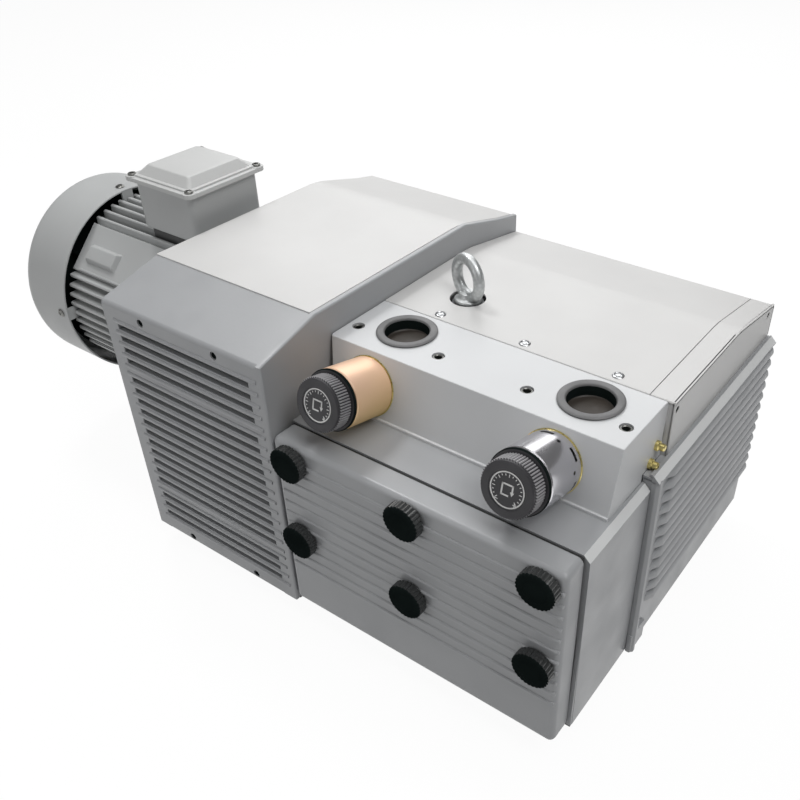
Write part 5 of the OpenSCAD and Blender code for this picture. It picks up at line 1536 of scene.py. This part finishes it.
@dataclass
class SmallParts:
    """Screws on the block, the hood and the top cover, and the base plate."""

    block: ValveBlock
    bright: tuple[Flat, ...] = ((15.0, -31.0), (116.5, -30.0), (218.0, -29.0))
    hood: tuple[Flat, ...] = CouplingHood.screws
    feet: tuple[Flat, ...] = ((-240.0, -165.0), (-240.0, 165.0), (240.0, -165.0), (240.0, 165.0))

    def sunk(self) -> Piece:
        """Models the four socket screws that are sunk in the valve block."""
        x, y, z = self.block.screws[0], self.block.screw_y, PLAN.block_top - 9
        head = Bench.lathe("sunk_screws", Axis.Z, (x, y, z), [
            (0.0, 0.0), (5.9, 0.0), (5.9, 7.0), (5.4, 7.8), (4.2, 8.0), (3.5, 7.4), (3.5, 1.5),
            (0.0, 1.5)], 36)
        row = Bench.row("sunk_screws", head, [(v - x, 0.0, 0.0) for v in self.block.screws[1:]])
        return Bench.smooth(row, 35.0)

    def sockets(self) -> Piece:
        """Models black discs as painted shade at the bottoms of the sunk screws' sockets, black discs in the
        end band's recesses and the hood's black screws.
        """
        floor, end = PLAN.block_top - 7.6, PumpCovers.band_end - 1.7
        head = [(0.0, 1.2), (0.0, 0.9), (1.8, 0.9), (1.9, 0.0), (2.8, 0.0), (3.5, 0.5), (3.6, 2.2),
                (0.0, 2.2)]
        # Painted shade: black discs at the bottoms of the sunk screws' sockets.
        parts = [Bench.rod("socket", Axis.Z, (x, self.block.screw_y, floor), 3.7, 2.6, 24)
                 for x in self.block.screws]
        parts += [Bench.rod("band_screw", Axis.X, (end, y, z), 3.2, 0.9, 24)
                  for y, z in PumpCovers.band_screws]
        parts += [Bench.lathe("head", Axis.Y, (x, PLAN.front + 0.8, z), head, 24) for x, z in self.hood]
        return Bench.smooth(Bench.join("socket_shade_and_black_screws", parts), 35.0)

    def covers(self) -> Piece:
        """Models the flat bright screws of the top cover."""
        x, y = self.bright[0]
        head = Bench.lathe("bright_screws", Axis.Z, (x, y, PLAN.block_top), [
            (0.0, -1.0), (5.9, -1.0), (6.0, 0.2), (5.2, 1.0), (4.4, 1.2), (3.9, 0.9), (3.5, 0.2), (2.6, 0.2),
            (2.2, 0.8), (0.0, 0.9)], 36)
        row = Bench.row("bright_screws", head, [(a - x, b - y, 0.0) for a, b in self.bright[1:]])
        return Bench.smooth(row, 35.0)

    def base(self) -> Piece:
        """Models the base plate, which stands back under the filter cover."""
        x0, x1, y0, y1 = PLAN.left + 6, 281.5, PLAN.front + 5, PLAN.back - 2.5
        low, inset = PLAN.lower, -189.0
        outline = [(x0, y0), (PLAN.seam, y0), (PLAN.seam, inset), (x1, inset), (x1, y1), (x0, y1)]
        piece = Bench.prism("base_plate_casting", outline, Axis.Z, low, PLAN.floor_top - low)
        air = Bench.block("air", (PLAN.left + 60, -70, low - 1), (PLAN.seam - 30, 70, low + 7))
        holes = [Bench.rod("hole", Axis.Z, (x, y, low - 1), 5.5, 8.0, 32) for x, y in self.feet]
        return Bench.smooth(Bench.round_off(Bench.cut(piece, air, *holes), 0.8, 2, 60.0), 35.0)

    def build(self) -> None:
        """Builds and dresses the small parts."""
        dress(self.sunk(), Finish.DULL_STEEL, CABINET, ["black_screws"])
        dress(self.sockets(), Finish.BLACK_PLASTIC, CABINET)
        dress(self.covers(), Finish.STEEL, CABINET, ["bright_screws"])
        dress(self.base(), Finish.BASE_PAINT, CABINET, ["base_plate"])


@dataclass
class InnerParts:
    """CAD nodes with their finishes; those without a piece above keep their CAD shape."""

    finishes: dict[Finish, tuple[str, ...]] = field(default_factory=lambda: {
        Finish.BASE_PAINT: ("base_plate",),
        Finish.RUBBER: ("rubber_feet",),
        Finish.CAST_PAINT: ("hood_front", "motor_plate", "bulkhead", "filter_housing", "louvre_panel",
                            "rear_panel", "valve_block", "filter_cover"),
        Finish.COVER_PAINT: ("hood_top", "top_cover", "end_band"),
        Finish.FILTER_PAPER: ("filter_cartridges",),
        Finish.CAST_IRON: ("pump_cylinder", "end_cover_drive", "end_cover_free", "stator_core", "pump_rotor",
                           "coupling_hubs"),
        Finish.STEEL: ("shaft_bearings", "bright_screws", "motor_screws", "pump_shaft", "motor_rotor",
                       "spring_plate_left", "spring_plate_right", "valve_spring_left", "valve_spring_right"),
        Finish.ZINC: ("lifting_eye",),
        Finish.BRASS: ("brass_nipples", "sleeve_rings", "poppet_left", "poppet_right"),
        Finish.BLACK_STEEL: ("black_screws",),
        Finish.COPPERED: ("sleeve_left",),
        Finish.CHROME: ("sleeve_right",),
        Finish.SHADED_PAINT: ("motor_housing", "motor_end_shield"),
        Finish.MOTOR_PAINT: ("motor_flange", "fan_cowl", "terminal_box", "terminal_lid"),
        Finish.COUPLING_RED: ("coupling_insert",),
        Finish.ALUMINIUM: ("cooling_fan",),
        Finish.BLACK_PLASTIC: ("motor_fan", "port_plug_left", "port_plug_right",
                               *(f"cover_knob_{i}" for i in range(1, 7))),
        Finish.CARBON: ("vane_1", "vane_2", "vane_3", "vane_4"),
        Finish.GREY_PLASTIC: ("dial_knob_left", "dial_knob_right")})

    def build(self) -> None:
        """Dresses every CAD node."""
        finish_of = {name: finish for finish, names in self.finishes.items() for name in names}
        for name, piece in frame["nodes"].items():
            piece.data.materials.clear()
            piece.data.materials.append(finish_of[name].material())
            LOG.info("%s gets its finish", name)


@dataclass
class Studio:
    """Camera, pale floor and soft light."""

    eye: Spot = (502.5, -678.7, 783.2)
    turn: Spot = (53.0362, 0.1182, 35.1375)
    lens: float = 40.303
    shift: Flat = (-0.08096, 0.04086)
    floor_colour: Colour = (0.5, 0.5, 0.5)
    ambient: float = 0.16
    glow: float = 1.08
    glow_share: float = 0.88

    def camera(self) -> None:
        """Puts the camera where the photograph was taken from."""
        data = bpy.data.cameras.new("photo_camera")
        data.lens = self.lens
        data.sensor_width = 36.0
        data.sensor_fit = "HORIZONTAL"
        data.shift_x, data.shift_y = self.shift
        data.clip_start, data.clip_end = 0.01, 50.0
        data.dof.use_dof = False
        camera = bpy.data.objects.new("photo_camera", data)
        camera.location = Vector(self.eye) * MM
        camera.rotation_euler = Euler([math.radians(a) for a in self.turn], "XYZ")
        bpy.context.scene.collection.objects.link(camera)
        bpy.context.scene.camera = camera

    def floor(self) -> None:
        """Lays a pale floor that shows as white to the camera away from the pump's shadow."""
        Bench.clear()
        bpy.ops.mesh.primitive_circle_add(vertices=96, radius=6.0, fill_type="NGON",
                                          location=(0.0, 0.0, -0.0005))
        floor = Bench.settle("studio_floor")
        g = Graph("studio_floor")
        g.set(Roughness=0.9)
        g.shader.inputs["Base Color"].default_value = (*self.floor_colour, 1.0)
        glow = g.node("ShaderNodeEmission", Color=(1.0, 1.0, 1.0, 1.0), Strength=self.glow)
        path = g.node("ShaderNodeLightPath")
        either = g.node("ShaderNodeMath", operation="MAXIMUM")
        g.link(path.outputs["Is Camera Ray"], either.inputs[0])
        g.link(path.outputs["Is Glossy Ray"], either.inputs[1])
        share = g.node("ShaderNodeMath", operation="MULTIPLY")
        g.link(either.outputs[0], share.inputs[0])
        share.inputs[1].default_value = self.glow_share
        mix = g.node("ShaderNodeMixShader")
        g.link(share.outputs[0], mix.inputs["Fac"])
        g.link(g.shader.outputs[0], mix.inputs[1])
        g.link(glow.outputs[0], mix.inputs[2])
        g.link(mix.outputs[0], g.tree.nodes["Material Output"].inputs["Surface"])
        floor.data.materials.append(g.material)

    def world(self) -> None:
        """Sets a white background and a plain soft ambient light."""
        world = bpy.data.worlds.new("studio_world")
        world.use_nodes = True
        tree = world.node_tree
        soft = tree.nodes["Background"]
        soft.inputs["Color"].default_value = (1.0, 1.0, 1.0, 1.0)
        soft.inputs["Strength"].default_value = self.ambient
        white = tree.nodes.new("ShaderNodeBackground")
        white.inputs["Strength"].default_value = 1.0
        white.inputs["Color"].default_value = (1.0, 1.0, 1.0, 1.0)
        path = tree.nodes.new("ShaderNodeLightPath")
        mix = tree.nodes.new("ShaderNodeMixShader")
        tree.links.new(path.outputs["Is Camera Ray"], mix.inputs["Fac"])
        tree.links.new(soft.outputs[0], mix.inputs[1])
        tree.links.new(white.outputs[0], mix.inputs[2])
        tree.links.new(mix.outputs[0], tree.nodes["World Output"].inputs["Surface"])
        bpy.context.scene.world = world

    def lamp(self, name: str, place: Spot, aim: Spot, size: float, power: float) -> None:
        """Hangs one square softbox.

        Args:
            name: Name of the lamp.
            place: Its place in metres.
            aim: The point it shines at, in metres.
            size: Length of its side in metres.
            power: Its power in watts.
        """
        data = bpy.data.lights.new(name, "AREA")
        data.size = size
        data.energy = power
        lamp = bpy.data.objects.new(name, data)
        lamp.location = place
        lamp.rotation_euler = (Vector(aim) - Vector(place)).to_track_quat("-Z", "Y").to_euler()
        bpy.context.scene.collection.objects.link(lamp)

    def build(self) -> None:
        """Sets up the studio."""
        self.camera()
        self.floor()
        self.world()
        self.lamp("back_softbox", (-1.2, 2.0, 1.8), (0.0, 0.0, 0.3), 2.2, 31.0)
        self.lamp("glare_softbox", (-1.1, 0.3, 2.1), (-0.05, -0.2, 0.34), 0.4, 13.0)
        self.lamp("top_softbox", (0.4, 0.0, 2.7), (0.0, 0.0, 0.3), 1.8, 19.0)
        self.lamp("front_softbox", (-1.0, -2.6, 1.5), (0.0, 0.0, 0.2), 2.0, 13.0)
        self.lamp("side_softbox", (1.6, -0.4, 2.4), (0.1, 0.0, 0.2), 0.9, 20.0)
        bpy.context.scene.view_settings.view_transform = "Standard"


def main() -> None:
    logging.basicConfig(level=logging.INFO, format="%(name)s: %(message)s")
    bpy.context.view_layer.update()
    Studio().build()
    InnerParts().build()
    block = ValveBlock()
    left = RegulatingValve(0, block, Finish.COPPERED, slots=(172.0, 216.0, 260.0), holes=(194.0, 238.0))
    right = RegulatingValve(1, block, Finish.CHROME)
    for part in (CouplingHood(), FilterFront(), FilterHousing(), block, left, right, PumpCovers(),
                 LiftingEye(), Motor(), SmallParts(block)):
        part.build()


if __name__ == "__main__":
    main()
